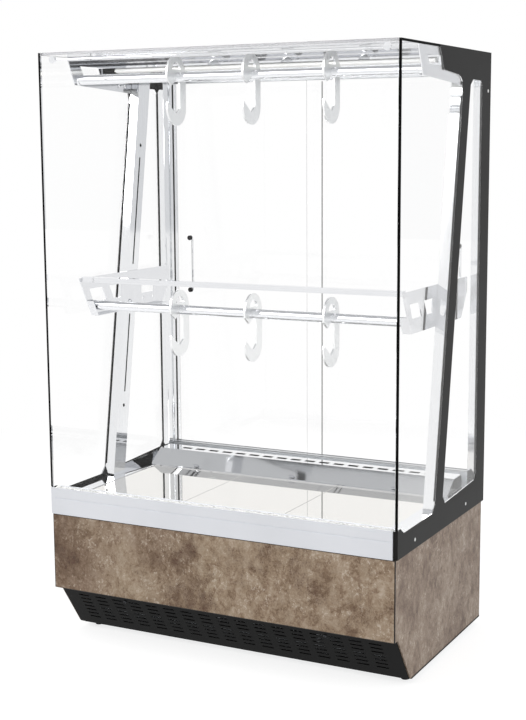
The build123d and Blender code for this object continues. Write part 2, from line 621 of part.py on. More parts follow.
def tube(half, rail_z):
    """A hanging tube between the two brackets at a height."""
    with BuildPart() as pipe:
        with BuildSketch(Plane.YZ.offset(-half)):
            with Locations((y_at(RAIL_D), rail_z)):
                Circle(TUBE_R)
                RegularPolygon(TUBE_R - TUBE_WALL, SMALL_SIDES, mode=Mode.SUBTRACT)
        extrude(amount=2 * half)
    return pipe.part


def socket(x0, rail_z):
    """A collar round the end of a tube."""
    with BuildPart() as collar:
        with BuildSketch(Plane.YZ.offset(x0)):
            with Locations((y_at(RAIL_D), rail_z)):
                RegularPolygon(SOCKET_R, 2 * SMALL_SIDES)
                RegularPolygon(TUBE_R + 0.02, SMALL_SIDES, major_radius=False, mode=Mode.SUBTRACT)
        extrude(amount=SOCKET_L)
    return collar.part


sockets = []
for rail_z, half, name in ((MID_RAIL_Z, mid_half, "mid_rail"), (TOP_RAIL_Z, top_half, "top_rail")):
    save(tube(half, rail_z), name)
    sockets += [socket(-half, rail_z), socket(half - SOCKET_L, rail_z)]
save(union(*sockets), "rail_sockets")

# Flat front bars tie each pair of brackets together.
save(block(-mid_half, mid_half, 113, 131, 972, 986), "mid_bar")
save(block(-top_half, top_half, 119.5, 129, 1555, 1562.5), "top_bar")

# Cross beam between the side frames under the glass top, with a lamp strip below it.
BEAM_D = 262.0
BEAM_W = 34.0
BEAM_T = 2.0
BEAM_Z0 = 1541.0
BEAM_Z1 = 1563.0
LAMP_W = 22.0
LAMP_H = 12.0
beam_half = top_half - GAP
lamp_half = top_half - 12
with BuildPart() as top_beam:
    with BuildSketch(Plane.YZ.offset(-beam_half)):
        with BuildLine():
            Polyline(*outline([(BEAM_D + BEAM_W, BEAM_Z1), (BEAM_D, BEAM_Z1), (BEAM_D, BEAM_Z0),
                               (BEAM_D + BEAM_W, BEAM_Z0)]))
            offset(amount=BEAM_T, side=Side.LEFT)
        make_face()
    extrude(amount=2 * beam_half)
save(top_beam.part, "top_beam")
with BuildPart() as lamp_strip:
    with BuildSketch(Plane.YZ.offset(-lamp_half)) as lamp_shape:
        with Locations((y_at(BEAM_D + BEAM_W / 2), BEAM_Z0 - LAMP_H / 2 - 0.5)):
            Rectangle(LAMP_W, LAMP_H)
        chamfer(lamp_shape.vertices(), 3)
    extrude(amount=2 * lamp_half)
save(lamp_strip.part, "lamp_strip")

# Thin tie rod behind the front glass, with a round button bonded at each end.
ROD_X = 462.0
ROD_D = 15.5
ROD_Z = 1552.5
ROD_R = 2.0
BUTTON_R = 9.0
BUTTON_T = 9.6
with BuildPart() as tie_rod:
    with BuildSketch(Plane.YZ.offset(-ROD_X)):
        with Locations((y_at(ROD_D), ROD_Z)):
            RegularPolygon(ROD_R, 8)
    extrude(amount=2 * ROD_X)
    with BuildSketch(Plane.XZ.offset(-y_at(FRONT_PANE + 0.2))):
        with Locations((-ROD_X, ROD_Z), (ROD_X, ROD_Z)):
            RegularPolygon(BUTTON_R, 2 * SMALL_SIDES)
    extrude(amount=-BUTTON_T)
save(tie_rod.part, "tie_rod")

# %% Hooks
# Flat steel S-hooks: a round head with a seat over the tube and a window above it, a straight shank
# behind, and an open pointed bow in front.
HEAD_R = 46.5
ARM = 30.0
BOW_DROP = 77.0
HOOK_SIDES = 36  # the round head and bow are cut with this many flats
BALANCE = 5.8  # the plate sits this far forward, so that its weight hangs under the tube
seat_r = TUBE_R + SEAT_CLEARANCE


def hook(x, rail_z):
    """One hook that hangs on the tube at a height."""
    tube_y = y_at(RAIL_D)
    y0 = tube_y - BALANCE
    head_z = rail_z + 7
    bow_z = rail_z - BOW_DROP
    shank_in = HEAD_R - ARM
    with BuildPart() as plate:
        with BuildSketch(Plane.YZ.offset(x - HOOK_T / 2)):
            with Locations((y0, head_z), (y0, bow_z)):
                RegularPolygon(HEAD_R, HOOK_SIDES, rotation=180 / HOOK_SIDES)
            with Locations((y0 + HEAD_R - ARM / 2, (head_z + bow_z) / 2)):
                Rectangle(ARM, head_z - bow_z)
            with BuildLine():
                Polyline((y0 - 60, head_z - 12), (y0 - HEAD_R, head_z - 12), (y0 - 24, rail_z - 22),
                         (tube_y - 12, rail_z - 10), (tube_y, rail_z), (y0 + shank_in, rail_z - 6),
                         (y0 + shank_in, bow_z - 2), (y0 - 2, bow_z - 16), (y0 - 10, bow_z - 13),
                         (y0 - HEAD_R + 1, bow_z + 14), (y0 - 60, bow_z + 14), close=True)
            make_face(mode=Mode.SUBTRACT)
            with Locations((tube_y, rail_z)):
                Circle(seat_r, mode=Mode.SUBTRACT)
            with BuildLine():
                window_low = (y0 - 20, rail_z + 19), (y0 + 20, rail_z + 19)
                Line(*window_low)
                ThreePointArc(window_low[1], (y0, rail_z + 37), window_low[0])
            make_face(mode=Mode.SUBTRACT)
        extrude(amount=HOOK_T)
    return plate.part


for row, rail_z in (("mid", MID_RAIL_Z), ("top", TOP_RAIL_Z)):
    for number, x in enumerate(HOOK_X, start=1):
        save(hook(x, rail_z), f"{row}_hook_{number}")

# %% Refrigeration
# Compressor on four rubber mounts at the right rear of the pan.
PAN_FLOOR = PAN_Z + PAN_T
COMP_X = 250.0
COMP_D = 470.0
MOUNT_H = 13.8
PLATE_Z = PAN_FLOOR + MOUNT_H + GAP
CAN_Z = PLATE_Z + 3
CAN_R = 62.0
CAN_H = 114.0
DOME_H = 26.0
with BuildPart() as compressor:
    add(block(COMP_X - 95, COMP_X + 95, COMP_D - 60, COMP_D + 60, PLATE_Z, CAN_Z))
    with BuildSketch(Plane.XY.offset(CAN_Z)):
        with Locations((COMP_X, y_at(COMP_D))):
            RegularPolygon(CAN_R, 2 * SMALL_SIDES)
    extrude(amount=CAN_H)
    extrude(compressor.faces().sort_by(Axis.Z)[-1], amount=DOME_H, taper=35)
    # terminal box on the side of the can
    add(block(COMP_X + 44, COMP_X + 84, COMP_D - 25, COMP_D + 25, PAN_FLOOR + 52, PAN_FLOOR + 108))
save(compressor.part, "compressor")

with BuildPart() as compressor_mounts:
    with BuildSketch(Plane.XY.offset(PAN_FLOOR)):
        with Locations((COMP_X, y_at(COMP_D))):
            with GridLocations(160, 90, 2, 2):
                RegularPolygon(10, SMALL_SIDES)
    extrude(amount=MOUNT_H)
save(compressor_mounts.part, "compressor_mounts")

# Finned condenser behind the grille, with a shroud plate, a motor on an arm and a five-blade fan.
COND_D = 175.0
COND_X = 60.0
COND_W = 260.0
COND_H = 190.0
FAN_R = 82.0
SHAFT_R = 3.0
FAN_Z = PAN_FLOOR + COND_H / 2 + 2
COND_FINS = 20
fin_pitch = COND_W / COND_FINS
with BuildPart() as condenser:
    add(block(COND_X - COND_W / 2 - 5, COND_X + COND_W / 2 + 5, COND_D - 22, COND_D + 22, PAN_FLOOR + 0.2,
              PAN_FLOOR + COND_H))
    with BuildSketch(Plane.XZ.offset(-y_at(COND_D))):
        with Locations((COND_X, PAN_FLOOR + COND_H / 2)):
            with GridLocations(fin_pitch, 1, COND_FINS, 1):
                Rectangle(fin_pitch - 2, COND_H - 16)
    extrude(amount=30, both=True, mode=Mode.SUBTRACT)
save(condenser.part, "condenser")

SHROUD_D = 226.0
MOTOR_ARM_D = 250.0
MOTOR_R = 24.0
MOTOR_L = 46.0
with BuildPart() as fan_shroud:
    add(block(COND_X - 105, COND_X + 105, SHROUD_D, SHROUD_D + 4, PAN_FLOOR + 0.2, PAN_FLOOR + COND_H))
    with BuildSketch(Plane.XZ.offset(-y_at(SHROUD_D - 6))):
        with Locations((COND_X, FAN_Z)):
            RegularPolygon(FAN_R + 4, 2 * SMALL_SIDES, major_radius=False)
    extrude(amount=-14, mode=Mode.SUBTRACT)
    add(block(COND_X - 100, COND_X + 100, MOTOR_ARM_D, MOTOR_ARM_D + 2, FAN_Z - 6, FAN_Z + 6))
    for side in (-1, 1):
        x_arm = COND_X + side * 99
        add(block(x_arm - 1, x_arm + 1, SHROUD_D + 3, MOTOR_ARM_D + 2, FAN_Z - 6, FAN_Z + 6))
    with BuildSketch(Plane.XZ.offset(-y_at(MOTOR_ARM_D))):
        with Locations((COND_X, FAN_Z)):
            RegularPolygon(MOTOR_R, SMALL_SIDES)
    extrude(amount=-MOTOR_L)
    with Locations(Location((COND_X, y_at(MOTOR_ARM_D), FAN_Z), (-90, 0, 0))):
        Cylinder(SHAFT_R, 32)
save(fan_shroud.part, "fan_shroud")


def fan_blade(radius, hub_r, depth):
    """One pitched blade that runs out along X from inside the hub."""
    reach = radius - hub_r + 3
    pitch = atan2(depth * 0.8, hub_r * 1.5)
    blade_plane = Plane(origin=(hub_r - 3, 0, depth / 2), x_dir=(1, 0, 0), z_dir=(0, -sin(pitch), cos(pitch)))
    with BuildPart() as blade:
        with BuildSketch(blade_plane):
            with BuildLine():
                Polyline((0, -hub_r * 0.4), (reach, -hub_r * 0.75), (reach, hub_r * 0.75), (0, hub_r * 0.4),
                         close=True)
            make_face()
        extrude(amount=0.8, both=True)
    return blade.part


def fan_rotor(radius, hub_r, depth, blades):
    """Hub and blades about Z, with the foot of the hub at the origin."""
    blade = fan_blade(radius, hub_r, depth)
    with BuildPart() as rotor:
        with BuildSketch():
            RegularPolygon(hub_r, 4 * blades)
        extrude(amount=depth)
        with PolarLocations(0, blades):
            add(blade)
        Cylinder(SHAFT_R + 0.05, 3 * depth, mode=Mode.SUBTRACT)
    return rotor.part


COND_FAN_BACK = 246.0
condenser_rotor = Location((COND_X, y_at(COND_FAN_BACK), FAN_Z), (90, 0, 0)) * fan_rotor(FAN_R, 24, 16, 5)
save(condenser_rotor, "condenser_fan")

# Evaporator in the well under the plates, with a fan in an upright plate before it.
EVAP_Z = WELL_Z + WELL_WALL
EVAP_HALF = 360.0
EVAP_FINS = 30
EVAP_D0 = 315.0
EVAP_D1 = 465.0
EVAP_H = 64.0
evap_pitch = 2 * EVAP_HALF / EVAP_FINS
with BuildPart() as evaporator:
    add(block(-EVAP_HALF, EVAP_HALF, EVAP_D0, EVAP_D1, EVAP_Z + 0.2, EVAP_Z + EVAP_H))
    with BuildSketch(Plane.XZ.offset(-y_at((EVAP_D0 + EVAP_D1) / 2))):
        with Locations((0, EVAP_Z + EVAP_H)):
            with GridLocations(evap_pitch, 1, EVAP_FINS, 1):
                Rectangle(evap_pitch - 2, 90)
    extrude(amount=80, both=True, mode=Mode.SUBTRACT)
save(evaporator.part, "evaporator")

EVAP_FAN_X = 0.0
EVAP_FAN_R = 46.0
EVAP_FAN_D = 255.0
EVAP_FAN_Z = EVAP_Z + 54.0
ARM_D = EVAP_FAN_D - 22
with BuildPart() as fan_plate:
    add(block(-400, 400, EVAP_FAN_D - 1, EVAP_FAN_D + 1, EVAP_Z + 0.2, EVAP_Z + 104))
    with BuildSketch(Plane.XZ.offset(-y_at(EVAP_FAN_D))):
        with Locations((EVAP_FAN_X, EVAP_FAN_Z)):
            RegularPolygon(EVAP_FAN_R + 2, 2 * SMALL_SIDES, major_radius=False)
    extrude(amount=4, both=True, mode=Mode.SUBTRACT)
    arm_half = EVAP_FAN_R + 8
    add(block(EVAP_FAN_X - arm_half, EVAP_FAN_X + arm_half, ARM_D, ARM_D + 3, EVAP_FAN_Z - 4, EVAP_FAN_Z + 4))
    for x_arm in (EVAP_FAN_X - arm_half, EVAP_FAN_X + arm_half - 2):
        add(block(x_arm, x_arm + 2, ARM_D + 1, EVAP_FAN_D, EVAP_FAN_Z - 4, EVAP_FAN_Z + 4))
    with BuildSketch(Plane.XZ.offset(-y_at(ARM_D + 2))):
        with Locations((EVAP_FAN_X, EVAP_FAN_Z)):
            RegularPolygon(16, SMALL_SIDES)
    extrude(amount=26)
    with Locations(Location((EVAP_FAN_X, y_at(ARM_D), EVAP_FAN_Z), (-90, 0, 0))):
        Cylinder(SHAFT_R, 15, align=(Align.CENTER, Align.CENTER, Align.MIN))
save(fan_plate.part, "evaporator_fan_plate")
evaporator_place = Location((EVAP_FAN_X, y_at(EVAP_FAN_D - 18), EVAP_FAN_Z), (-90, 0, 0))
save(evaporator_place * fan_rotor(EVAP_FAN_R, 14, 14, 5), "evaporator_fan")

# Evaporation tray on the pan, under the drain spout.
with BuildPart() as drain_tray:
    add(block(DRAIN_X - 130, DRAIN_X + 130, DRAIN_D - 100, DRAIN_D + 100, PAN_FLOOR + 0.2, PAN_FLOOR + 50))
    offset(amount=-2, openings=drain_tray.faces().sort_by(Axis.Z)[-1])
    chamfer(drain_tray.edges().filter_by(Axis.Z).group_by(SortBy.LENGTH)[-1], 1.5)
save(drain_tray.part, "drain_tray")

# %% Controls in the rear panel
BEZEL = 3.0
BEZEL_LIP = 5.0
BOX_DEPTH = 34.0
ROCKER_W = 20.0
ROCKER_H = 13.0
ROCKER_X = CONTROL_X + 42
PIN_R = 1.5
PIN_D = REAR_D - 1.5
with BuildPart() as control_box:
    add(block(CONTROL_X - CONTROL_W / 2, CONTROL_X + CONTROL_W / 2, REAR_D - BOX_DEPTH,
              REAR_D + 0.2, CONTROL_Z - CONTROL_H / 2, CONTROL_Z + CONTROL_H / 2))
    add(block(CONTROL_X - CONTROL_W / 2 - BEZEL_LIP, CONTROL_X + CONTROL_W / 2 + BEZEL_LIP, REAR_D + 0.2,
              REAR_D + BEZEL, CONTROL_Z - CONTROL_H / 2 - BEZEL_LIP, CONTROL_Z + CONTROL_H / 2 + BEZEL_LIP))
    chamfer(control_box.faces().sort_by(Axis.Y)[-1].edges(), 1)
    with Locations((CONTROL_X - 30, y_at(REAR_D + BEZEL), CONTROL_Z)):
        Box(62, 2, 28, mode=Mode.SUBTRACT)
    add(block(ROCKER_X - ROCKER_H / 2, ROCKER_X + ROCKER_H / 2, REAR_D - 12, REAR_D + BEZEL + 1,
              CONTROL_Z - ROCKER_W / 2, CONTROL_Z + ROCKER_W / 2), mode=Mode.SUBTRACT)
    with Locations(Location((ROCKER_X, y_at(PIN_D), CONTROL_Z), (0, 90, 0))):
        Cylinder(PIN_R, ROCKER_H + 4)
save(control_box.part, "control_box")

# Rocker switch for the lamp, which tips on a pin across its middle.
with BuildPart() as light_switch:
    with BuildSketch(Plane.YZ.offset(ROCKER_X - ROCKER_H / 2 + 0.4)):
        with BuildLine():
            Polyline(*outline([(REAR_D - 5, CONTROL_Z - 3), (REAR_D - 5, CONTROL_Z + 3),
                               (REAR_D - 1, CONTROL_Z + 7.6), (REAR_D + 4.4, CONTROL_Z + 8.4),
                               (REAR_D + 2.6, CONTROL_Z), (REAR_D + 4.4, CONTROL_Z - 8.4),
                               (REAR_D - 1, CONTROL_Z - 7.6)]), close=True)
        make_face()
    extrude(amount=ROCKER_H - 0.8)
    with Locations(Location((ROCKER_X, y_at(PIN_D), CONTROL_Z), (0, 90, 0))):
        Cylinder(PIN_R + 0.05, 40, mode=Mode.SUBTRACT)
save(light_switch.part, "light_switch")
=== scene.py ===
# %% [markdown]
# # A deli display case
# The case is a glass box on a refrigerated base. Its shapes come from a CAD model, which this
# script loads as a fixed frame. What Blender adds is the look: a camera that stands where the
# photographer stood, soft studio light, a real finish on every surface, and the small pieces
# that sheet-metal CAD leaves out, such as screws, seals, edge bands and a display.

# %% Load the CAD frame
import math

import bpy
from mathutils import Matrix, Vector


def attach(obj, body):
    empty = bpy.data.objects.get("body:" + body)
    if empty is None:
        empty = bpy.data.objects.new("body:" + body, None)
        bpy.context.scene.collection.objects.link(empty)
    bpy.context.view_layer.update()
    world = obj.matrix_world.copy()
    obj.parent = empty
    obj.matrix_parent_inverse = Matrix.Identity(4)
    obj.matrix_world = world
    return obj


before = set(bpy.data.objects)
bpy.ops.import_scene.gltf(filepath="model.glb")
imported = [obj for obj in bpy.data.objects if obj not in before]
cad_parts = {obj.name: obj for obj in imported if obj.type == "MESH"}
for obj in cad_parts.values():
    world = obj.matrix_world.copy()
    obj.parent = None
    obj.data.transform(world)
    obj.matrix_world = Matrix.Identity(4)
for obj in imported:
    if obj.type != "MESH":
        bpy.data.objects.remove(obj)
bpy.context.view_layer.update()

# %% [markdown]
# ## Helpers
# A colour is given as an sRGB hex code, but shaders work with linear light, so one
# function converts it. Another adds a shader node: its settings are attributes, and each entry
# of `inputs` is either a number for a socket or another node's output to link to it.

# %% Colour and node helpers
MM = 0.001
WHITE = "#ffffff"


def linear(code):
    """An sRGB hex colour as linear red, green, blue and alpha."""
    channels = [int(code[i:i + 2], 16) / 255 for i in (1, 3, 5)]
    light = [c / 12.92 if c <= 0.04045 else ((c + 0.055) / 1.055) ** 2.4 for c in channels]
    return (*light, 1.0)


def add(tree, kind, inputs=None, **settings):
    """Adds one shader node with its settings, values and links."""
    made = tree.nodes.new("ShaderNode" + kind)
    for name, value in settings.items():
        setattr(made, name, value)
    for name, value in (inputs or {}).items():
        if isinstance(value, bpy.types.NodeSocket):
            tree.links.new(value, made.inputs[name])
        else:
            made.inputs[name].default_value = value
    return made


def start_material(name):
    """An empty material and its node tree."""
    material = bpy.data.materials.new(name)
    material.use_nodes = True
    material.node_tree.nodes.clear()
    return material, material.node_tree


def ramp(tree, factor, stops):
    """A colour ramp with stops given as (position, hex colour)."""
    made = add(tree, "ValToRGB", {"Fac": factor})
    while len(made.color_ramp.elements) < len(stops):
        made.color_ramp.elements.new(1.0)
    for element, (position, code) in zip(made.color_ramp.elements, stops):
        element.position = position
        element.color = linear(code)
    return made.outputs["Color"]


def finish_on(material, *nodes):
    """Gives CAD nodes a finish."""
    for name in nodes:
        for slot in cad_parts[name].material_slots:
            slot.material = material
    print(material.name, "on", ", ".join(nodes))


# %% [markdown]
# ## Camera
# The case was photographed from its right, a little above the middle. The camera's place, turn
# and lens were solved from the corners of the glass box, so the outlines of the render fall on
# those of the photograph. The picture is 526 by 720, and the lens covers its long side.

# %% Camera
CAMERA_PLACE = (1.6908, -3.3136, 1.3375)
CAMERA_AZIMUTH = 27.359
CAMERA_PITCH = -8.832
CAMERA_ROLL = -0.370
LENS = 69.75
SENSOR = 36.0  # millimetres along the picture's long side

camera_data = bpy.data.cameras.new("photo_camera")
camera_data.sensor_width = SENSOR
camera_data.sensor_height = SENSOR
camera_data.sensor_fit = "VERTICAL"
camera_data.lens = LENS
camera = bpy.data.objects.new("photo_camera", camera_data)
bpy.context.scene.collection.objects.link(camera)
turn = Matrix.Rotation(math.radians(CAMERA_AZIMUTH), 4, "Z")
tilt = Matrix.Rotation(math.radians(90 + CAMERA_PITCH), 4, "X")
roll = Matrix.Rotation(math.radians(CAMERA_ROLL), 4, "Z")
camera.matrix_world = Matrix.Translation(CAMERA_PLACE) @ turn @ tilt @ roll
bpy.context.scene.camera = camera
print("camera at", CAMERA_PLACE, "lens", LENS, "mm")

# %% [markdown]
# ## Studio
# A white background is a property of the backdrop, not of the light. The world shows pure white
# to the camera, to mirrors and through glass, while matt surfaces get a weaker, plain light from
# it. Overhead, mirrors see a grey ceiling instead, and to the right a pale grey wall: bare steel
# has no colour of its own, and only something darker in the room gives a round tube its dark
# line and a flat plate its tone. Both greys were chosen to match the photograph, because its real
# room isn't known. Blender also counts a ray that clear glass has bent as a mirror's, so a trace of
# them shows through the panes. A picture of a real room could be the world instead, but its
# details would then show in every tube.

# %% World
SKY_LIGHT = 0.62
CEILING = "#bdbec0"
CEILING_FROM = 0.38  # height of a reflected direction: 0 is level, 1 is straight up
CEILING_FULL = 0.74
WALL = "#e2e3e5"
WALL_FROM, WALL_FULL = 0.2, 0.42  # how far to the right a reflected direction points

world = bpy.data.worlds.new("studio")
bpy.context.scene.world = world
world.use_nodes = True
sky = world.node_tree
sky.nodes.clear()


def seen(tree):
    """1 for rays that come from the camera, off a mirror or through glass, and 0 for the rest."""
    rays = add(tree, "LightPath")
    direct = add(tree, "Math", {0: rays.outputs["Is Camera Ray"], 1: rays.outputs["Is Glossy Ray"]},
                 operation="ADD")
    either = add(tree, "Math", {0: direct.outputs[0], 1: rays.outputs["Is Transmission Ray"]},
                 operation="ADD", use_clamp=True)
    return either.outputs[0]


sees_sky = seen(sky)
mirror_sees = add(sky, "LightPath").outputs["Is Glossy Ray"]
direction = add(sky, "TexCoord")
height = add(sky, "SeparateXYZ", {0: direction.outputs["Generated"]})
overhead = add(sky, "MapRange", {"Value": height.outputs["Z"], "From Min": CEILING_FROM,
                                 "From Max": CEILING_FULL})
aside = add(sky, "MapRange", {"Value": height.outputs["X"], "From Min": WALL_FROM,
                              "From Max": WALL_FULL})
in_mirror = add(sky, "Math", {0: overhead.outputs[0], 1: mirror_sees}, operation="MULTIPLY")
wall_in_mirror = add(sky, "Math", {0: aside.outputs[0], 1: mirror_sees}, operation="MULTIPLY")
walls = add(sky, "Mix", {0: wall_in_mirror.outputs[0], 6: linear(WHITE), 7: linear(WALL)},
            data_type="RGBA")
room = add(sky, "Mix", {0: in_mirror.outputs[0], 6: walls.outputs[2], 7: linear(CEILING)},
           data_type="RGBA")
plain_light = add(sky, "Background", {"Color": linear(WHITE), "Strength": SKY_LIGHT})
white = add(sky, "Background", {"Color": room.outputs[2], "Strength": 1.0})
mixed_sky = add(sky, "MixShader", {0: sees_sky, 1: plain_light.outputs[0], 2: white.outputs[0]})
add(sky, "OutputWorld", {"Surface": mixed_sky.outputs[0]})
print("world of strength", SKY_LIGHT, "with a ceiling", CEILING, "and a wall", WALL, "in mirrors")

# %% [markdown]
# The floor has a little glow that only the same rays see, so it looks white and still keeps the
# soft shadow under the case. Two to three metres out it fades to the exact white of the world:
# otherwise a faint horizon would show through the glass.

# %% Floor
FLOOR_SIZE = 30.0
FLOOR_GREY = "#b4b4b4"
FLOOR_GLOW = 0.74
FADE_FROM, FADE_TO = 1.5, 3.0  # metres from the case

bpy.ops.object.select_all(action="DESELECT")
bpy.ops.mesh.primitive_plane_add(size=FLOOR_SIZE, location=(0, 0, 0))
floor = bpy.context.object
floor.name = "studio_floor"
floor_paint, tree = start_material("matt white studio floor")
sees_floor = seen(tree)
matt = add(tree, "BsdfDiffuse", {"Color": linear(FLOOR_GREY)})
glow_strength = add(tree, "Math", {0: sees_floor, 1: FLOOR_GLOW}, operation="MULTIPLY")
glow = add(tree, "Emission", {"Color": linear(WHITE), "Strength": glow_strength.outputs[0]})
near = add(tree, "AddShader", {0: matt.outputs[0], 1: glow.outputs[0]})
coords = add(tree, "TexCoord")
out = add(tree, "VectorMath", {0: coords.outputs["Object"]}, operation="LENGTH")
fade = add(tree, "MapRange", {"Value": out.outputs["Value"], "From Min": FADE_FROM,
                              "From Max": FADE_TO}, interpolation_type="SMOOTHSTEP")
far = add(tree, "Emission", {"Color": linear(WHITE), "Strength": 1.0})
far_part = add(tree, "Math", {0: fade.outputs[0], 1: sees_floor}, operation="MULTIPLY")
ground = add(tree, "MixShader", {0: far_part.outputs[0], 1: near.outputs[0], 2: far.outputs[0]})
add(tree, "OutputMaterial", {"Surface": ground.outputs[0]})
floor.data.materials.append(floor_paint)
print("floor", FLOOR_SIZE, "m wide, pure white from", FADE_TO, "m out")

# %% [markdown]
# Two large soft boxes light the case, a stronger one from the left in front and a weaker one from
# the right. Small lamps would be simpler, but they leave hard spots in polished steel. The view
# transform is Standard, so that a colour renders about as it is written.

# %% Lamps
# Place, size in metres and power in watts of each soft box; both point near the case's middle.
LAMP_TARGET = Vector((0, 0, 0.7))
LAMPS = {
    "key_softbox": ((-2.6, -4.2, 3.6), 3.0, 120.0),
    "fill_softbox": ((4.6, -1.4, 2.6), 3.0, 80.0),
}
for name, (place, size, power) in LAMPS.items():
    lamp_data = bpy.data.lights.new(name, "AREA")
    lamp_data.shape = "SQUARE"
    lamp_data.size = size
    lamp_data.energy = power
    lamp = bpy.data.objects.new(name, lamp_data)
    lamp.location = place
    lamp.rotation_euler = (LAMP_TARGET - Vector(place)).to_track_quat("-Z", "Y").to_euler()
    bpy.context.scene.collection.objects.link(lamp)
    print(name, "of", power, "W at", place)
bpy.context.scene.view_settings.view_transform = "Standard"

# %% [markdown]
# ## Stone-pattern laminate
# The base is clad in high-pressure laminate printed like weathered stone: soft brown clouds the
# size of a hand, patches of a finer grain in them, rust-red specks that gather where the patches
# are dark, and thin pale scrapes. A picture of a board could be laid on it, but noise needs no
# file and has no seam, so each of these is a noise texture at its own real size, and the pattern
# is this script's own. A scrape is a contour line of a noise: the places where its value crosses
# one half. The front board is darker and browner at its left end than in the middle.

# %% Laminate
CLOUD = 210 * MM  # across one brown cloud
PATCH = 60 * MM  # across a patch in it
SCRAPE = 34 * MM  # a scrape's bend
FLAKE = 26 * MM  # across a flake with a crisp edge
SPECK = 6 * MM  # across a speck; real ones go down to a tenth of that
DRIFT = 420 * MM  # from one hue to the next
# The dark line round a board is painted shadow, for the shade in the gaps at its edges.
EDGE = 1.5 * MM  # the dark line round a board
CLOUD_SHARE, PATCH_SHARE, SPECK_SHARE = 0.38, 0.32, 0.30  # of the light and dark in the print
RUST, SCRAPED, SHADOW_LINE_COLOUR = "#553a2c", "#d0c3b3", "#2d251f"


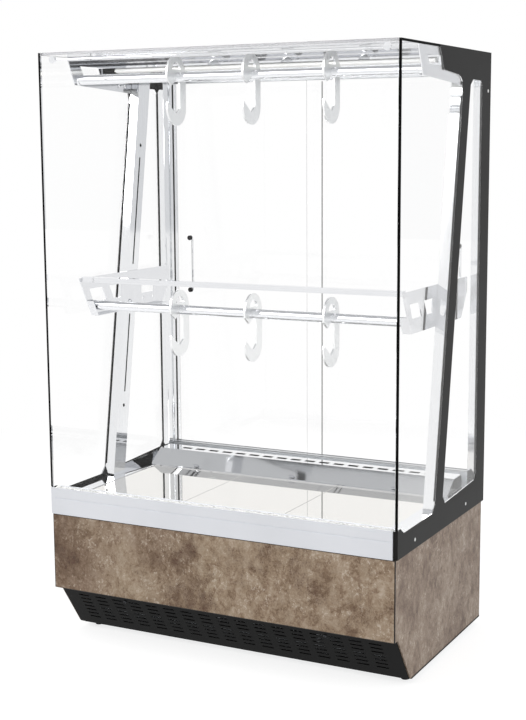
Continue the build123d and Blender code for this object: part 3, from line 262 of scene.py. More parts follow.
def laminate(name, stops, hues, rust, pale, stretch, middle, half, across):
    """Printed laminate: stops colour the clouds, hues tint them, stretch draws them out downwards.

    Rust and pale say how much of the specks and scrapes shows. The board is `half` wide and high
    to each side of its middle, and its width runs along `across`.
    """
    material, tree = start_material(name)
    coords = add(tree, "TexCoord")
    place = add(tree, "Mapping", {"Vector": coords.outputs["Object"], "Scale": (1, 1, 1 / stretch)})
    where = place.outputs[0]
    clouds = add(tree, "TexNoise", {"Vector": where, "Scale": 1 / CLOUD, "Detail": 9.0,
                                    "Roughness": 0.68, "Distortion": 0.35})
    patches = add(tree, "TexNoise", {"Vector": where, "Scale": 1 / PATCH, "Detail": 9.0,
                                     "Roughness": 0.74, "Distortion": 0.25})
    specks = add(tree, "TexNoise", {"Vector": where, "Scale": 1 / SPECK, "Detail": 4.0,
                                    "Roughness": 0.8})
    big = add(tree, "Math", {0: clouds.outputs["Fac"], 1: CLOUD_SHARE}, operation="MULTIPLY")
    mid = add(tree, "Math", {0: patches.outputs["Fac"], 1: PATCH_SHARE, 2: big.outputs[0]},
              operation="MULTIPLY_ADD")
    level = add(tree, "Math", {0: specks.outputs["Fac"], 1: SPECK_SHARE, 2: mid.outputs[0]},
                operation="MULTIPLY_ADD")
    clouded = ramp(tree, level.outputs[0], stops)
    # flakes: a second noise cut off hard, so each patch of it has a crisp, ragged edge
    chips = add(tree, "TexNoise", {"Vector": where, "Scale": 1 / FLAKE, "Detail": 10.0,
                                   "Roughness": 0.8, "Distortion": 0.5})
    flakes = ramp(tree, chips.outputs["Fac"], [(0.43, "#cbbfb5"), (0.455, "#eae4dd"),
                                               (0.52, "#f3efea"), (0.545, WHITE)])
    base = add(tree, "Mix", {0: 1.0, 6: clouded, 7: flakes}, data_type="RGBA", blend_type="MULTIPLY")
    # a tint that drifts slowly and changes with the place from left to right; on the front board it is
    # darker at the left end
    slow = add(tree, "TexNoise", {"Vector": coords.outputs["Object"], "Scale": 1 / DRIFT,
                                  "Detail": 3.0})
    along = add(tree, "SeparateXYZ", {0: coords.outputs["Object"]})
    shift = add(tree, "Math", {0: along.outputs["X"], 1: 0.5, 2: slow.outputs["Fac"]},
                operation="MULTIPLY_ADD")
    tint = ramp(tree, shift.outputs[0], hues)
    tinted = add(tree, "Mix", {0: 1.0, 6: base.outputs[2], 7: tint}, data_type="RGBA",
                 blend_type="MULTIPLY")
    # rust-red specks where the patches are dark
    speck_edge = add(tree, "MapRange", {"Value": specks.outputs["Fac"], "From Min": 0.54,
                                        "From Max": 0.57})
    in_dark = add(tree, "MapRange", {"Value": mid.outputs[0], "From Min": 0.355,
                                     "From Max": 0.315})
    rusty = add(tree, "Math", {0: speck_edge.outputs[0], 1: in_dark.outputs[0]}, operation="MULTIPLY")
    rusted = add(tree, "Math", {0: rusty.outputs[0], 1: rust}, operation="MULTIPLY", use_clamp=True)
    with_rust = add(tree, "Mix", {0: rusted.outputs[0], 6: tinted.outputs[2], 7: linear(RUST)},
                    data_type="RGBA")
    # thin pale scrapes: contour lines, broken up by the specks and kept to the paler patches
    bends = add(tree, "TexNoise", {"Vector": where, "Scale": 1 / SCRAPE, "Detail": 6.0,
                                   "Roughness": 0.62, "Distortion": 0.8})
    off_line = add(tree, "Math", {0: bends.outputs["Fac"], 1: 0.5}, operation="SUBTRACT")
    from_line = add(tree, "Math", {0: off_line.outputs[0]}, operation="ABSOLUTE")
    line = add(tree, "MapRange", {"Value": from_line.outputs[0], "From Min": 0.028,
                                  "From Max": 0.008})
    broken = add(tree, "MapRange", {"Value": specks.outputs["Fac"], "From Min": 0.5,
                                    "From Max": 0.56})
    in_pale = add(tree, "MapRange", {"Value": patches.outputs["Fac"], "From Min": 0.46,
                                     "From Max": 0.56})
    scraped = add(tree, "Math", {0: line.outputs[0], 1: broken.outputs[0]}, operation="MULTIPLY")
    kept = add(tree, "Math", {0: scraped.outputs[0], 1: in_pale.outputs[0]}, operation="MULTIPLY")
    pale_part = add(tree, "Math", {0: kept.outputs[0], 1: pale}, operation="MULTIPLY",
                    use_clamp=True)
    printed = add(tree, "Mix", {0: pale_part.outputs[0], 6: with_rust.outputs[2],
                                7: linear(SCRAPED)}, data_type="RGBA")
    # a thin band of painted shadow runs along the board's edges, for the shade in the gaps at the rail
    # and at the boards beside it
    from_middle = add(tree, "VectorMath", {0: coords.outputs["Object"], 1: middle},
                      operation="SUBTRACT")
    to_side = add(tree, "VectorMath", {0: from_middle.outputs[0]}, operation="ABSOLUTE")
    sides = add(tree, "SeparateXYZ", {0: to_side.outputs[0]})
    over_wide = add(tree, "Math", {0: sides.outputs[across], 1: half[0] - EDGE},
                    operation="GREATER_THAN")
    over_high = add(tree, "Math", {0: sides.outputs["Z"], 1: half[1] - EDGE},
                    operation="GREATER_THAN")
    on_shadow_line = add(tree, "Math", {0: over_wide.outputs[0], 1: over_high.outputs[0]},
                  operation="MAXIMUM")
    colour = add(tree, "Mix", {0: on_shadow_line.outputs[0], 6: printed.outputs[2], 7: linear(SHADOW_LINE_COLOUR)},
                 data_type="RGBA")
    relief = add(tree, "Bump", {"Height": level.outputs[0], "Distance": 0.4 * MM, "Strength": 0.35})
    sheen = add(tree, "MapRange", {"Value": level.outputs[0], "From Min": 0.4, "From Max": 0.6,
                                   "To Min": 0.52, "To Max": 0.38})
    surface = add(tree, "BsdfPrincipled", {"Base Color": colour.outputs[2],
                                           "Roughness": sheen.outputs[0],
                                           "Normal": relief.outputs[0], "IOR": 1.5,
                                           "Specular IOR Level": 0.35})
    add(tree, "OutputMaterial", {"Surface": surface.outputs[0]})
    return material


# One laminate in two copies, whose colours differ as painted light: each copy is set to the light that
# falls on its own face, the front or the sides.
laminate_painted_for_front_light = laminate(
    "stone-print high-pressure laminate, front",
    stops=[(0.39, "#625044"), (0.44, "#836f5e"), (0.49, "#a5937f"), (0.55, "#b5a492"),
           (0.61, "#c8baab")],
    hues=[(0.3, "#cdc3bd"), (0.46, "#fffefa"), (0.68, "#f8f5f1")],
    rust=0.9, pale=0.9, stretch=1.2,
    middle=(0, 0, 250.8 * MM), half=(495 * MM, 102.8 * MM), across="X")
laminate_painted_for_side_light = laminate(
    "stone-print high-pressure laminate, side",
    stops=[(0.38, "#625046"), (0.45, "#806e60"), (0.5, "#938273"), (0.55, "#9f8f80"),
           (0.62, "#b2a394")],
    hues=[(0.3, "#f5efe8"), (0.5, WHITE), (0.7, "#faf6f2")],
    rust=0.6, pale=0.6, stretch=1.3,
    middle=(0, -8.3 * MM, 187 * MM), half=(317.8 * MM, 167 * MM), across="Y")
finish_on(laminate_painted_for_front_light, "front_panel")
finish_on(laminate_painted_for_side_light, "side_panel_left", "side_panel_right")

# %% [markdown]
# ## Painted sheet metal
# The front rail, the grille and the side frames are powder-coated steel. The powder melts into a
# skin with a very faint orange-peel ripple, about a millimetre across. It hardly changes the
# colour, but it breaks up highlights, so it goes into the bump and a little into the roughness.
# The two dark coats are matt, so little of the white studio shines back from them.

# %% Powder coat
PEEL = 1.4 * MM
COAT_DRIFT = 200 * MM  # from a thinner to a thicker place of the coat


def powder_coat(name, code, shade, roughness, shine):
    """Powder coat: a plain colour with a slightly darker drift and an orange-peel ripple."""
    material, tree = start_material(name)
    coords = add(tree, "TexCoord")
    peel = add(tree, "TexNoise", {"Vector": coords.outputs["Object"], "Scale": 1 / PEEL, "Detail": 2.0})
    drift = add(tree, "TexNoise", {"Vector": coords.outputs["Object"], "Scale": 1 / COAT_DRIFT,
                                   "Detail": 3.0})
    colour = ramp(tree, drift.outputs["Fac"], [(0.3, shade), (0.7, code)])
    rough = add(tree, "MapRange", {"Value": drift.outputs["Fac"], "To Min": roughness - 0.05,
                                   "To Max": roughness + 0.05})
    relief = add(tree, "Bump", {"Height": peel.outputs["Fac"], "Distance": 0.04 * MM, "Strength": 0.4})
    surface = add(tree, "BsdfPrincipled", {"Base Color": colour, "Roughness": rough.outputs[0],
                                           "Normal": relief.outputs[0], "IOR": 1.5,
                                           "Specular IOR Level": shine})
    add(tree, "OutputMaterial", {"Surface": surface.outputs[0]})
    return material


rail_paint = powder_coat("pale grey powder coat", "#eff1f6", "#e9ebf0", 0.38, 0.4)
frame_paint = powder_coat("black powder coat", "#171615", "#131312", 0.5, 0.14)
grille_paint = powder_coat("dark grey powder coat", "#101010", "#0b0b0b", 0.55, 0.09)
finish_on(rail_paint, "front_rail")
finish_on(frame_paint, "side_frame_left", "side_frame_right")
finish_on(grille_paint, "louvre_grille")

# %% [markdown]
# ## Stainless steel
# Posts, brackets, tubes and the air ledge are mirror-polished stainless steel, so what they show
# is mostly the room: white, with dark lines where they mirror the black frame. A polisher leaves
# fine lines along the piece; they are narrower than the render can show, so they are drawn a
# little coarser and only just break the mirror. The hooks are bead-blasted to an even pale grey.
# The display plates are pale, yet they mirror what stands over them. Polished steel under a clear
# cream lacquer does both, and was chosen for that; what they are really made of isn't known.

# %% Stainless steel
LINE = 0.9 * MM  # real lines are ten times finer
STEEL_DRIFT = 1 / 7  # metres from a duller to a brighter place
X, Z = 0, 2  # the axis that the lines run along


def steel(name, code, shade, roughness, line_axis, line_length, relief_depth):
    """Polished or brushed metal with lines along one axis."""
    material, tree = start_material(name)
    coords = add(tree, "TexCoord")
    scale = [1 / LINE] * 3
    scale[line_axis] = 1 / line_length
    place = add(tree, "Mapping", {"Vector": coords.outputs["Object"], "Scale": scale})
    lines = add(tree, "TexNoise", {"Vector": place.outputs[0], "Scale": 1.0, "Detail": 3.0})
    drift = add(tree, "TexNoise", {"Vector": coords.outputs["Object"], "Scale": 1 / STEEL_DRIFT,
                                   "Detail": 2.0})
    colour = ramp(tree, lines.outputs["Fac"], [(0.3, shade), (0.7, code)])
    smear = add(tree, "Math", {0: lines.outputs["Fac"], 1: drift.outputs["Fac"]}, operation="MULTIPLY")
    rough = add(tree, "MapRange", {"Value": smear.outputs[0], "From Max": 0.5,
                                   "To Min": roughness * 0.7, "To Max": roughness * 1.3})
    relief = add(tree, "Bump", {"Height": lines.outputs["Fac"], "Distance": relief_depth,
                                "Strength": 0.3})
    surface = add(tree, "BsdfPrincipled", {"Base Color": colour, "Metallic": 1.0,
                                           "Roughness": rough.outputs[0],
                                           "Normal": relief.outputs[0]})
    add(tree, "OutputMaterial", {"Surface": surface.outputs[0]})
    return material


polished_upright = steel("polished stainless steel, upright", "#f0f1f2", "#e6e7e9", 0.05,
                         Z, 200 * MM, 0.002 * MM)
polished_plate = steel("mirror-polished stainless plate", "#e6e7e9", "#dddee1", 0.035,
                       Z, 120 * MM, 0.0006 * MM)
polished_long = steel("polished stainless steel, along the case", "#eff0f2", "#e4e5e8", 0.05,
                      X, 200 * MM, 0.002 * MM)
blasted_hook = steel("bead-blasted stainless steel", "#f6f7f7", "#f1f2f2", 0.3,
                     Z, 30 * MM, 0.002 * MM)
lacquered_plate = steel("polished steel under clear cream lacquer", "#f0eeea", "#ebe9e5", 0.025,
                        X, 150 * MM, 0.0005 * MM)
mirror_sheet = steel("mirror-polished stainless sheet", "#f3f4f5", "#eff0f1", 0.06,
                     X, 200 * MM, 0.0003 * MM)
black_zinc = steel("black zinc plating", "#4a4b4e", "#38393c", 0.3, Z, 2 * MM, 0.01 * MM)
finish_on(polished_upright, "slanted_posts", "rear_posts", "door_handle_left", "door_handle_right",
          "door_jambs")
finish_on(polished_plate, "mid_brackets", "top_brackets", "riser_clips")
finish_on(blasted_hook, *[f"{row}_hook_{n}" for row in ("mid", "top") for n in (1, 2, 3)])
finish_on(lacquered_plate, "deck_plate_left", "deck_plate_middle", "deck_plate_right")
finish_on(polished_long, "mid_rail", "top_rail", "rail_sockets", "mid_bar", "top_bar", "tie_rod",
          "top_beam", "deck_surround")
finish_on(mirror_sheet, "air_ledge")

# %% [markdown]
# ## Anodised aluminium and zinc
# The door track is extruded aluminium, anodised: a soft grey metal with faint lines from the
# die. The machine bay is galvanised sheet, whose zinc crystals show as a pattern of flat grey
# shards about a centimetre across, which a Voronoi texture draws well. Screws and nuts have a
# thin bright zinc plating with the faint blue of its chromate bath.

# %% Aluminium and galvanised sheet
anodised = steel("anodised aluminium extrusion", "#d0d2d4", "#c2c4c7", 0.3, X, 400 * MM, 0.01 * MM)
fins = steel("bare aluminium fins", "#c8cacc", "#aeb0b3", 0.3, Z, 60 * MM, 0.02 * MM)
zinc_plate = steel("bright zinc plating", "#c5cacf", "#aeb4bb", 0.24, Z, 2 * MM, 0.01 * MM)
finish_on(anodised, "door_head", "door_sill")
finish_on(fins, "evaporator", "condenser")

SPANGLE = 11 * MM
galvanised, tree = start_material("galvanised steel sheet")
coords = add(tree, "TexCoord")
crystals = add(tree, "TexVoronoi", {"Vector": coords.outputs["Object"], "Scale": 1 / SPANGLE})
grey = add(tree, "SeparateColor", {"Color": crystals.outputs["Color"]})
zinc = ramp(tree, grey.outputs[0], [(0.0, "#8f9497"), (0.5, "#a2a7aa"), (1.0, "#b4b8ba")])
dull = add(tree, "MapRange", {"Value": grey.outputs[1], "To Min": 0.32, "To Max": 0.5})
surface = add(tree, "BsdfPrincipled", {"Base Color": zinc, "Metallic": 0.85,
                                       "Roughness": dull.outputs[0]})
add(tree, "OutputMaterial", {"Surface": surface.outputs[0]})
finish_on(galvanised, "chassis_pan", "rear_panel", "drain_tray", "evaporator_fan_plate",
          "fan_shroud")

# %% [markdown]
# ## Glass
# Each pane is real clear glass, so the shader bends and reflects light. Lamps can't find their
# way through such a pane in a short render, so for shadow rays alone the glass is exchanged for
# a plain transparent surface. The photograph shows no green tint, so it is made as low-iron glass.
# Real glass has an IOR of about 1.5. The lower one here was chosen to match the photograph, where
# the panes hardly shine, as if a coating held reflections back; whether they have one is a guess.

# %% Clear glass
GLASS_IOR = 1.25

clear_glass, tree = start_material("clear low-iron toughened glass")
rays = add(tree, "LightPath")
pane = add(tree, "BsdfPrincipled", {"Base Color": linear(WHITE), "Roughness": 0.0,
                                    "IOR": GLASS_IOR, "Transmission Weight": 1.0})
open_air = add(tree, "BsdfTransparent", {"Color": linear(WHITE)})
either = add(tree, "MixShader", {0: rays.outputs["Is Shadow Ray"], 1: pane.outputs[0],
                                 2: open_air.outputs[0]})
add(tree, "OutputMaterial", {"Surface": either.outputs[0]})
finish_on(clear_glass, "glass_front", "glass_sides", "glass_top", "door_left", "door_right")

# %% [markdown]
# ## Enamel, rubber and plastics
# The compressor's can is black stoved enamel, seals are black silicone, feet and fans are moulded
# black plastic with a fine spark-eroded grain, and the caps on the side frames are white ABS. All
# have an even colour, and what tells them apart is the shine and the depth of the grain, so one
# function makes them all.

# %% Enamel, rubber and plastics
GRAIN = 0.8 * MM
PLASTIC_DRIFT = 1 / 9  # metres from a darker to a paler place


def moulded(name, code, shade, roughness, grain, shine=0.45, ior=1.46):
    """Moulded plastic, rubber or enamel with a grain of a given depth."""
    material, tree = start_material(name)
    coords = add(tree, "TexCoord")
    pits = add(tree, "TexNoise", {"Vector": coords.outputs["Object"], "Scale": 1 / GRAIN, "Detail": 3.0})
    drift = add(tree, "TexNoise", {"Vector": coords.outputs["Object"], "Scale": 1 / PLASTIC_DRIFT,
                                   "Detail": 2.0})
    colour = ramp(tree, drift.outputs["Fac"], [(0.3, shade), (0.7, code)])
    rough = add(tree, "MapRange", {"Value": pits.outputs["Fac"], "To Min": roughness * 0.8,
                                   "To Max": roughness * 1.2})
    relief = add(tree, "Bump", {"Height": pits.outputs["Fac"], "Distance": grain, "Strength": 0.5})
    surface = add(tree, "BsdfPrincipled", {"Base Color": colour, "Roughness": rough.outputs[0],
                                           "Normal": relief.outputs[0], "IOR": ior,
                                           "Specular IOR Level": shine})
    add(tree, "OutputMaterial", {"Surface": surface.outputs[0]})
    return material


silicone = moulded("black silicone seal", "#050505", "#030303", 0.6, 0.02 * MM, 0.06)
black_plastic = moulded("black moulded plastic", "#141414", "#0f0f0f", 0.5, 0.05 * MM, 0.2)
black_pvc = moulded("black PVC profile", "#121110", "#0d0c0c", 0.5, 0.03 * MM, 0.15)
white_plastic = moulded("white ABS", "#f2f2f1", "#e9e9e8", 0.3, 0.02 * MM)
opal_plastic = moulded("opal lamp cover", "#f8f8f6", "#f1f1ee", 0.4, 0.01 * MM)
tub_plastic = moulded("white food-safe plastic", "#e8e9e8", "#dededd", 0.4, 0.04 * MM)
can_enamel = moulded("black stoved enamel", "#141416", "#0e0e10", 0.28, 0.02 * MM)
control_plastic = moulded("dark grey polycarbonate", "#2c2d30", "#252629", 0.4, 0.06 * MM, 0.3)
smoked_acrylic = moulded("smoked acrylic", "#0b0c10", "#08090c", 0.06, 0.0005 * MM, 0.5, 1.49)
mount_rubber = moulded("black rubber", "#17171a", "#101013", 0.6, 0.1 * MM, 0.25)
finish_on(silicone, "glass_joints")
finish_on(black_plastic, "levelling_feet", "condenser_fan", "evaporator_fan", "door_shoes_left",
          "door_shoes_right", "light_switch")
finish_on(white_plastic, "screw_caps")
finish_on(opal_plastic, "lamp_strip")
finish_on(tub_plastic, "insulated_well")
finish_on(can_enamel, "compressor")
finish_on(control_plastic, "control_box")
finish_on(mount_rubber, "compressor_mounts")

# %% [markdown]
# ## Modelling helpers
# Every new piece starts from a primitive added at its size and place, and is then shaped in edit
# mode. Operators work on whatever is selected, so `pick` selects faces by a test on where they
# lie or which way they face. Places along the case's depth are given in millimetres behind its
# front face, as a fitter would measure them.

# %% Modelling helpers
HALF_DEPTH = 326.5  # millimetres from the front face to the middle of the case


def spot(x, behind, z):
    """A point in metres from millimetres: to the right, behind the front face, and up."""
    return Vector((x * MM, (behind - HALF_DEPTH) * MM, z * MM))


def block(name, low, high):
    """A box between two corners in millimetres, with its place in its mesh."""
    low, high = spot(*low), spot(*high)
    bpy.ops.object.select_all(action="DESELECT")
    bpy.ops.mesh.primitive_cube_add(size=1, location=(low + high) / 2, scale=high - low)
    bpy.ops.object.transform_apply(location=True, rotation=False, scale=True)
    piece = bpy.context.object
    piece.name = name
    return piece


def pick(piece, test):
    """Enters edit mode on a piece with only the faces selected that pass a test."""
    bpy.context.view_layer.objects.active = piece
    bpy.ops.object.mode_set(mode="EDIT")
    bpy.ops.mesh.select_mode(type="FACE")
    bpy.ops.mesh.select_all(action="DESELECT")
    bpy.ops.object.mode_set(mode="OBJECT")
    for face in piece.data.polygons:
        face.select = test(face)
    bpy.ops.object.mode_set(mode="EDIT")


def soften(piece, width, segments=2):
    """Rounds every sharp edge of a piece by a width in millimetres."""
    rounding = piece.modifiers.new("rounding", "BEVEL")
    rounding.width = width * MM
    rounding.segments = segments
    rounding.limit_method = "ANGLE"
    bpy.ops.object.select_all(action="DESELECT")
    piece.select_set(True)
    bpy.context.view_layer.objects.active = piece
    bpy.ops.object.modifier_apply(modifier="rounding")


def finish_piece(piece, material, body="cabinet", smooth_angle=35):
    """Gives a piece its material and its body, and smooths its round faces."""
    bpy.ops.object.select_all(action="DESELECT")
    piece.select_set(True)
    bpy.context.view_layer.objects.active = piece
    bpy.ops.object.shade_smooth_by_angle(angle=math.radians(smooth_angle))
    piece.data.materials.clear()
    piece.data.materials.append(material)
    piece.data.name = piece.name
    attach(piece, body)
    print(piece.name, "on", body, "with", len(piece.data.polygons), "faces")


# %% [markdown]
# ## Screws
# The grille, the rear panel and the brackets are held by button-head screws with a hex socket,
# which is a guess: such a head is only a few pixels wide in the photograph. One is made: a short
# cylinder whose top face is inset and lifted to a low dome, and a six-sided plug that a Boolean
# modifier cuts out of it. Copies of it are then set out where they belong, each group joined to
# one piece.

# %% One screw, and a way to set out copies
DOME = ((0.16, 0.30), (0.2, 0.16))  # two steps: inset by a part of the radius, lift of the height
SOCKET = 0.48  # its radius as a part of the head's
SOCKET_MIDDLE = 1.25  # how high the plug's middle stands, as a part of the head's height
FACING = 0.9  # a face whose normal has more than this along an axis faces that way


def button_screw(radius, height):
    """A button-head screw that stands on the origin."""
    bpy.ops.object.select_all(action="DESELECT")
    bpy.ops.mesh.primitive_cylinder_add(vertices=24, radius=radius * MM, depth=height * MM,
                                        location=(0, 0, height * MM / 2))
    bpy.ops.object.transform_apply(location=True, rotation=False, scale=False)
    screw = bpy.context.object
    pick(screw, lambda face: face.normal.z > FACING)
    for inset, lift in DOME:
        bpy.ops.mesh.inset(thickness=radius * inset * MM)
        bpy.ops.transform.translate(value=(0, 0, height * lift * MM))
    bpy.ops.object.mode_set(mode="OBJECT")
    bpy.ops.object.select_all(action="DESELECT")
    bpy.ops.mesh.primitive_cylinder_add(vertices=6, radius=radius * SOCKET * MM, depth=height * MM,
                                        location=(0, 0, height * SOCKET_MIDDLE * MM))
    plug = bpy.context.object
    cut = screw.modifiers.new("socket", "BOOLEAN")
    cut.operation = "DIFFERENCE"
    cut.object = plug
    bpy.ops.object.select_all(action="DESELECT")
    screw.select_set(True)
    bpy.context.view_layer.objects.active = screw
    bpy.ops.object.modifier_apply(modifier="socket")
    bpy.data.objects.remove(plug)
    return screw


def set_out(source, name, places, axis):
    """Copies a piece to each place, with its top turned along an axis, as one piece."""
    copies = []
    for place in places:
        bpy.ops.object.select_all(action="DESELECT")
        source.select_set(True)
        bpy.context.view_layer.objects.active = source
        bpy.ops.object.duplicate()
        copy = bpy.context.object
        copy.location = place
        copy.rotation_euler = Vector(axis).to_track_quat("Z", "Y").to_euler()
        bpy.ops.object.transform_apply(location=True, rotation=True, scale=False)
        copies.append(copy)
    bpy.ops.object.select_all(action="DESELECT")
    for copy in copies:
        copy.select_set(True)
    bpy.context.view_layer.objects.active = copies[0]
    if len(copies) > 1:
        bpy.ops.object.join()
    copies[0].name = name
    return copies[0]


# %% Screws in the grille, the rear panel and the brackets
GRILLE_OUT = (0, -0.8236, -0.5672)  # the way the slanted grille faces
REAR_FACE = 634.9  # the rear panel's outer face, behind the case's front
FRONT, BACK, LEFT, RIGHT, UP = (0, -1, 0), (0, 1, 0), (-1, 0, 0), (1, 0, 0), (0, 0, 1)

small_screw = button_screw(4.2, 1.9)
grille_screws = set_out(small_screw, "grille_screws",
                        [spot(x, 37.2, 124.9) for x in (-294.8, 294.8)], GRILLE_OUT)
finish_piece(grille_screws, black_zinc)
rear_screws = set_out(small_screw, "rear_panel_screws",
                      [spot(x, REAR_FACE, z) for x in (-468, 0, 468) for z in (34, 341)]
                      + [spot(x, REAR_FACE, 188) for x in (-468, 468)], BACK)
finish_piece(rear_screws, zinc_plate)
bolt = button_screw(6.0, 2.6)
for side, x, axis in (("left", -460.8, RIGHT), ("right", 460.8, LEFT)):
    bracket_bolts = set_out(bolt, f"bracket_bolts_{side}",
                            [spot(x, 352.0, z) for z in (896.0, 950.0)], axis)
    finish_piece(bracket_bolts, polished_plate)
for side, x, axis in (("left", -489.8, RIGHT), ("right", 489.8, LEFT)):
    hanger_bolts = set_out(bolt, f"hanger_bolts_{side}",
                           [spot(x, behind, 1499.0) for behind in (364.0, 392.0)], axis)
    finish_piece(hanger_bolts, polished_plate)

# %% [markdown]
# ## Nuts on the levelling feet
# A foot is screwed up or down and then locked by a flat hex nut under the floor pan. It is a
# six-sided cylinder with softened corners and a hole for the stem. An inset and a push would make
# only a blind hole, so the hole is cut with a Boolean modifier.

# %% Foot nuts
NUT_RADIUS, NUT_THICK, NUT_HOLE, DRILL_LENGTH = 10.4, 5, 5.3, 9

bpy.ops.object.select_all(action="DESELECT")
bpy.ops.mesh.primitive_cylinder_add(vertices=6, radius=NUT_RADIUS * MM, depth=NUT_THICK * MM,
                                    location=(0, 0, 0))
nut = bpy.context.object
soften(nut, 0.7)
bpy.ops.object.select_all(action="DESELECT")
bpy.ops.mesh.primitive_cylinder_add(vertices=28, radius=NUT_HOLE * MM, depth=DRILL_LENGTH * MM,
                                    location=(0, 0, 0))
stem = bpy.context.object
hole = nut.modifiers.new("hole", "BOOLEAN")
hole.operation = "DIFFERENCE"
hole.object = stem
bpy.context.view_layer.objects.active = nut
bpy.ops.object.modifier_apply(modifier="hole")
bpy.data.objects.remove(stem)
foot_nuts = set_out(nut, "foot_nuts",
                    [spot(x, behind, 21.2) for x in (-462, 462) for behind in (157, 600)], UP)
finish_piece(foot_nuts, zinc_plate)

# %% [markdown]
# ## Seals and edge profiles
# A brush strip on the left door's glass closes the gap where the doors overlap, and shows as the
# thin dark upright line between them. A like strip runs up each jamb between the two door tracks.
# Thousands of hairs could be grown on it, but at this size it is a soft dark line, so it is a bar
# with softened edges.

# %% Door seals
brush = block("door_brush_left", (11.8, 628.7, 440), (14.4, 629.95, 1508))
soften(brush, 0.4)
finish_piece(brush, black_pvc, "door_left_body")
for side, low, high in (("left", (-468.4, 613, 440), (-466.8, 619, 1510)),
                        ("right", (466.8, 613, 440), (468.4, 619, 1510))):
    seal = block(f"jamb_brush_{side}", low, high)
    soften(seal, 0.5)
    finish_piece(seal, black_pvc)

# %% [markdown]
# Along the foot of each side panel runs a black PVC channel that keeps mop water out of the board.
# It is a bar whose top is inset and pushed down. A thin bead of the same black covers each upright
# corner where the front board meets a side board.

# %% Channels under the side panels and beads at the front corners
for side, sign in (("left", -1), ("right", 1)):
    inner, outer = sign * 478.3, sign * 495.6
    channel = block(f"panel_channel_{side}", (min(inner, outer), 116, 18.9),
                    (max(inner, outer), 635.9, 23.0))
    pick(channel, lambda face: face.normal.z > FACING)
    bpy.ops.mesh.inset(thickness=0.55 * MM)
    bpy.ops.mesh.extrude_region_move(TRANSFORM_OT_translate={"value": (0, 0, -3.4 * MM)})
    bpy.ops.object.mode_set(mode="OBJECT")
    finish_piece(channel, black_pvc)
    near_x, far_x = sign * 495.05, sign * 495.7
    bead = block(f"corner_bead_{side}", (min(near_x, far_x), 0.3, 148.2),
                 (max(near_x, far_x), 4.3, 353.4))
    soften(bead, 0.25)
    finish_piece(bead, black_pvc)

# %% [markdown]
# ## Liners beside the display deck
# In the photograph a bright strip covers the foot of each black side frame on its inside, and only
# the frame's edge shows as a black line. It is read as a liner of polished sheet, which is a
# guess. A box could be cut to shape, but the outline has sloping sides, so it is drawn flat in
# side view and then extruded: a circle of as many corners as the outline has is added, and its
# corners are moved to their places.

# %% Side liners
def side_sheet(name, outline, x_from, x_to):
    """A sheet with its outline in side view, as (behind, z) corners, extruded from one X to another."""
    bpy.ops.object.select_all(action="DESELECT")
    bpy.ops.mesh.primitive_circle_add(vertices=len(outline), radius=1, fill_type="NGON",
                                      location=(0, 0, 0))
    piece = bpy.context.object
    piece.name = name
    for corner, (behind, z) in zip(piece.data.vertices, outline):
        corner.co = spot(x_from, behind, z)
    pick(piece, lambda face: True)
    away = ((x_to - x_from) * MM, 0, 0)
    bpy.ops.mesh.extrude_region_move(TRANSFORM_OT_translate={"value": away})
    bpy.ops.mesh.select_all(action="SELECT")
    bpy.ops.mesh.normals_make_consistent(inside=False)
    bpy.ops.object.mode_set(mode="OBJECT")
    return piece


LINER = [(312, 404.2), (571, 404.2), (571, 436.0), (558, 426.0), (328, 417.3), (312, 416.9)]
for side, sign in (("left", -1), ("right", 1)):
    liner = side_sheet(f"side_liner_{side}", LINER, sign * 492.7, sign * 493.9)
    finish_piece(liner, polished_long)

# %% [markdown]
# ## Glass joints
# The photograph has thin black lines beside the posts. They are made as beads of black silicone
# between each post and the side glass, though they could also be the frame's own edge seen through
# the pane. Along the top edge of the front pane runs a pale grey line. It is read as a translucent
# bonded joint between the top and the front pane, and is made as a thin strip.

# %% Post beads and the bonded joint along the top
POST_LINE = [(258.3, 440), (419.1, 1452), (417.3, 1452), (256.5, 440)]
for side, sign in (("left", -1), ("right", 1)):
    bead = side_sheet(f"post_bead_{side}", POST_LINE, sign * 490.7, sign * 493.9)
    finish_piece(bead, silicone)
    low_x, high_x = sorted((sign * 490.9, sign * 493.9))
    rear_bead = block(f"rear_post_bead_{side}", (low_x, 568.6, 442), (high_x, 570.0, 1484))
    soften(rear_bead, 0.3)
    finish_piece(rear_bead, silicone)
bonded_joint = moulded("translucent bonded glass joint", "#b9b9bb", "#adadb0", 0.5, 0.02 * MM, 0.2)
top_joint = block("top_joint", (-493.6, 8.04, 1564.1), (493.6, 8.26, 1569.9))
soften(top_joint, 0.05)
finish_piece(top_joint, bonded_joint)

# %% [markdown]
# ## Lamp plug
# A small dark block shows at the left end of the lamp strip. It is read as the moulded plug that
# brings its current. A box is drawn in at its outer end by an inset and a shorter extrusion.

# %% Lamp plug
plug = block("lamp_plug", (-478.6, 266.8, 1527.4), (-441, 291.2, 1540.95))
pick(plug, lambda face: face.normal.x > FACING)
bpy.ops.mesh.inset(thickness=1.5 * MM)
bpy.ops.mesh.extrude_region_move(TRANSFORM_OT_translate={"value": (3 * MM, 0, 0)})
bpy.ops.object.mode_set(mode="OBJECT")
soften(plug, 0.5)
finish_piece(plug, black_plastic)

# %% [markdown]
# ## Silicone at the foot of the front glass
# The front pane stands in the rail in a bed of clear silicone, tooled to a small cove along its
# inner side. The fitter's finger leaves it slightly wavy, so it catches the light in specks. A
# bar is cut across by bevelling its upper inner edge away, and the waves are in the material.

# %% Clear silicone cove
COVE_BACK, COVE_TOP = 12.4, 430.0  # where its upper inner edge lies
SAME_PLACE = 1e-5  # metres

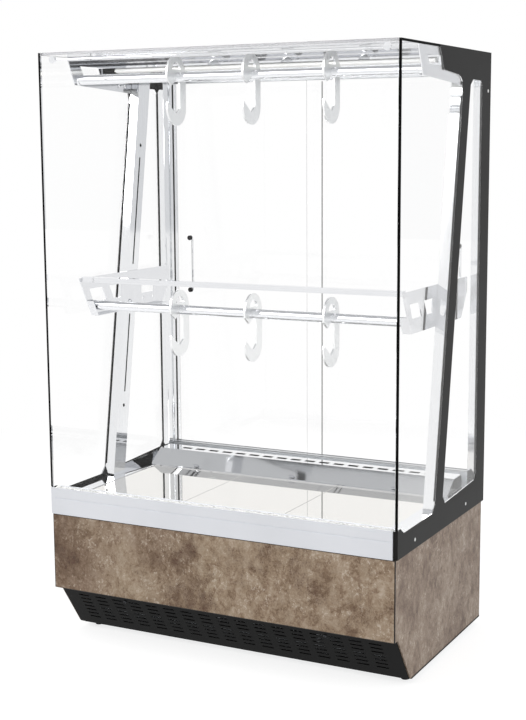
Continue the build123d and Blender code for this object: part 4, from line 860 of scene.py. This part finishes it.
cove = block("glass_foot_silicone", (-487, 8.1, 426.05), (487, COVE_BACK, COVE_TOP))
bpy.context.view_layer.objects.active = cove
bpy.ops.object.mode_set(mode="EDIT")
bpy.ops.mesh.select_mode(type="EDGE")
bpy.ops.mesh.select_all(action="DESELECT")
bpy.ops.object.mode_set(mode="OBJECT")
upper_back = spot(0, COVE_BACK, COVE_TOP)
for edge in cove.data.edges:
    offsets = [cove.data.vertices[i].co - upper_back for i in edge.vertices]
    edge.select = all(abs(off.y) < SAME_PLACE and abs(off.z) < SAME_PLACE for off in offsets)
bpy.ops.object.mode_set(mode="EDIT")
bpy.ops.mesh.bevel(offset=3.4 * MM, segments=4, profile=0.35)
bpy.ops.object.mode_set(mode="OBJECT")

TOOL_WAVE = 6 * MM
clear_silicone, tree = start_material("clear silicone, tooled by hand")
coords = add(tree, "TexCoord")
waves = add(tree, "TexNoise", {"Vector": coords.outputs["Object"], "Scale": 1 / TOOL_WAVE,
                               "Detail": 3.0})
milky = ramp(tree, waves.outputs["Fac"], [(0.35, "#d2d3d2"), (0.5, "#f4f4f2"), (0.65, WHITE)])
ripple = add(tree, "Bump", {"Height": waves.outputs["Fac"], "Distance": 0.8 * MM, "Strength": 0.8})
surface = add(tree, "BsdfPrincipled", {"Base Color": milky, "Roughness": 0.12, "IOR": 1.41,
                                       "Transmission Weight": 0.35, "Normal": ripple.outputs[0]})
add(tree, "OutputMaterial", {"Surface": surface.outputs[0]})
finish_piece(cove, clear_silicone)

# %% [markdown]
# ## Door handle bolts
# Each bow handle is bolted through the glass, so a dark washer and bolt head lie on the inner
# face at both of its ends. Washer and bolt could be two pieces, but they never part, so one disc
# is inset and extruded to the head, and the head's middle is inset and sunk.

# %% Handle bolts
bpy.ops.object.select_all(action="DESELECT")
bpy.ops.mesh.primitive_cylinder_add(vertices=28, radius=7 * MM, depth=1 * MM,
                                    location=(0, 0, 0.5 * MM))
bpy.ops.object.transform_apply(location=True, rotation=False, scale=False)
washer = bpy.context.object
pick(washer, lambda face: face.normal.z > FACING)
bpy.ops.mesh.inset(thickness=2.2 * MM)
bpy.ops.mesh.extrude_region_move(TRANSFORM_OT_translate={"value": (0, 0, 0.9 * MM)})
bpy.ops.mesh.inset(thickness=1.6 * MM)
bpy.ops.transform.translate(value=(0, 0, -0.5 * MM))
bpy.ops.object.mode_set(mode="OBJECT")
GLASS_GAP = 0.05  # millimetres between washer and pane
for side, x, glass_front in (("left", -425, 630), ("right", 425, 605)):
    bolts = set_out(washer, f"handle_bolts_{side}",
                    [spot(x, glass_front - GLASS_GAP, z) for z in (903, 1059)], FRONT)
    finish_piece(bolts, black_plastic, f"door_{side}_body")

# %% [markdown]
# ## Control display
# On the service side, which the photograph doesn't show, the controller has a blank display: a
# pane of smoked acrylic in a bevelled recess, with nothing lit. A box's outer face is inset twice,
# raised to a rim and then sunk to the pane.

# %% Control display
display = block("control_display", (240.5, 634.6, 257.5), (299.5, 636.4, 282.5))
pick(display, lambda face: face.normal.y > FACING)
bpy.ops.mesh.inset(thickness=1.5 * MM)
bpy.ops.transform.translate(value=(0, 0.5 * MM, 0))
bpy.ops.mesh.inset(thickness=7 * MM)
bpy.ops.transform.translate(value=(0, -0.3 * MM, 0))
bpy.ops.object.mode_set(mode="OBJECT")
finish_piece(display, smoked_acrylic)
for master in (small_screw, bolt, nut, washer):
    bpy.data.objects.remove(master)
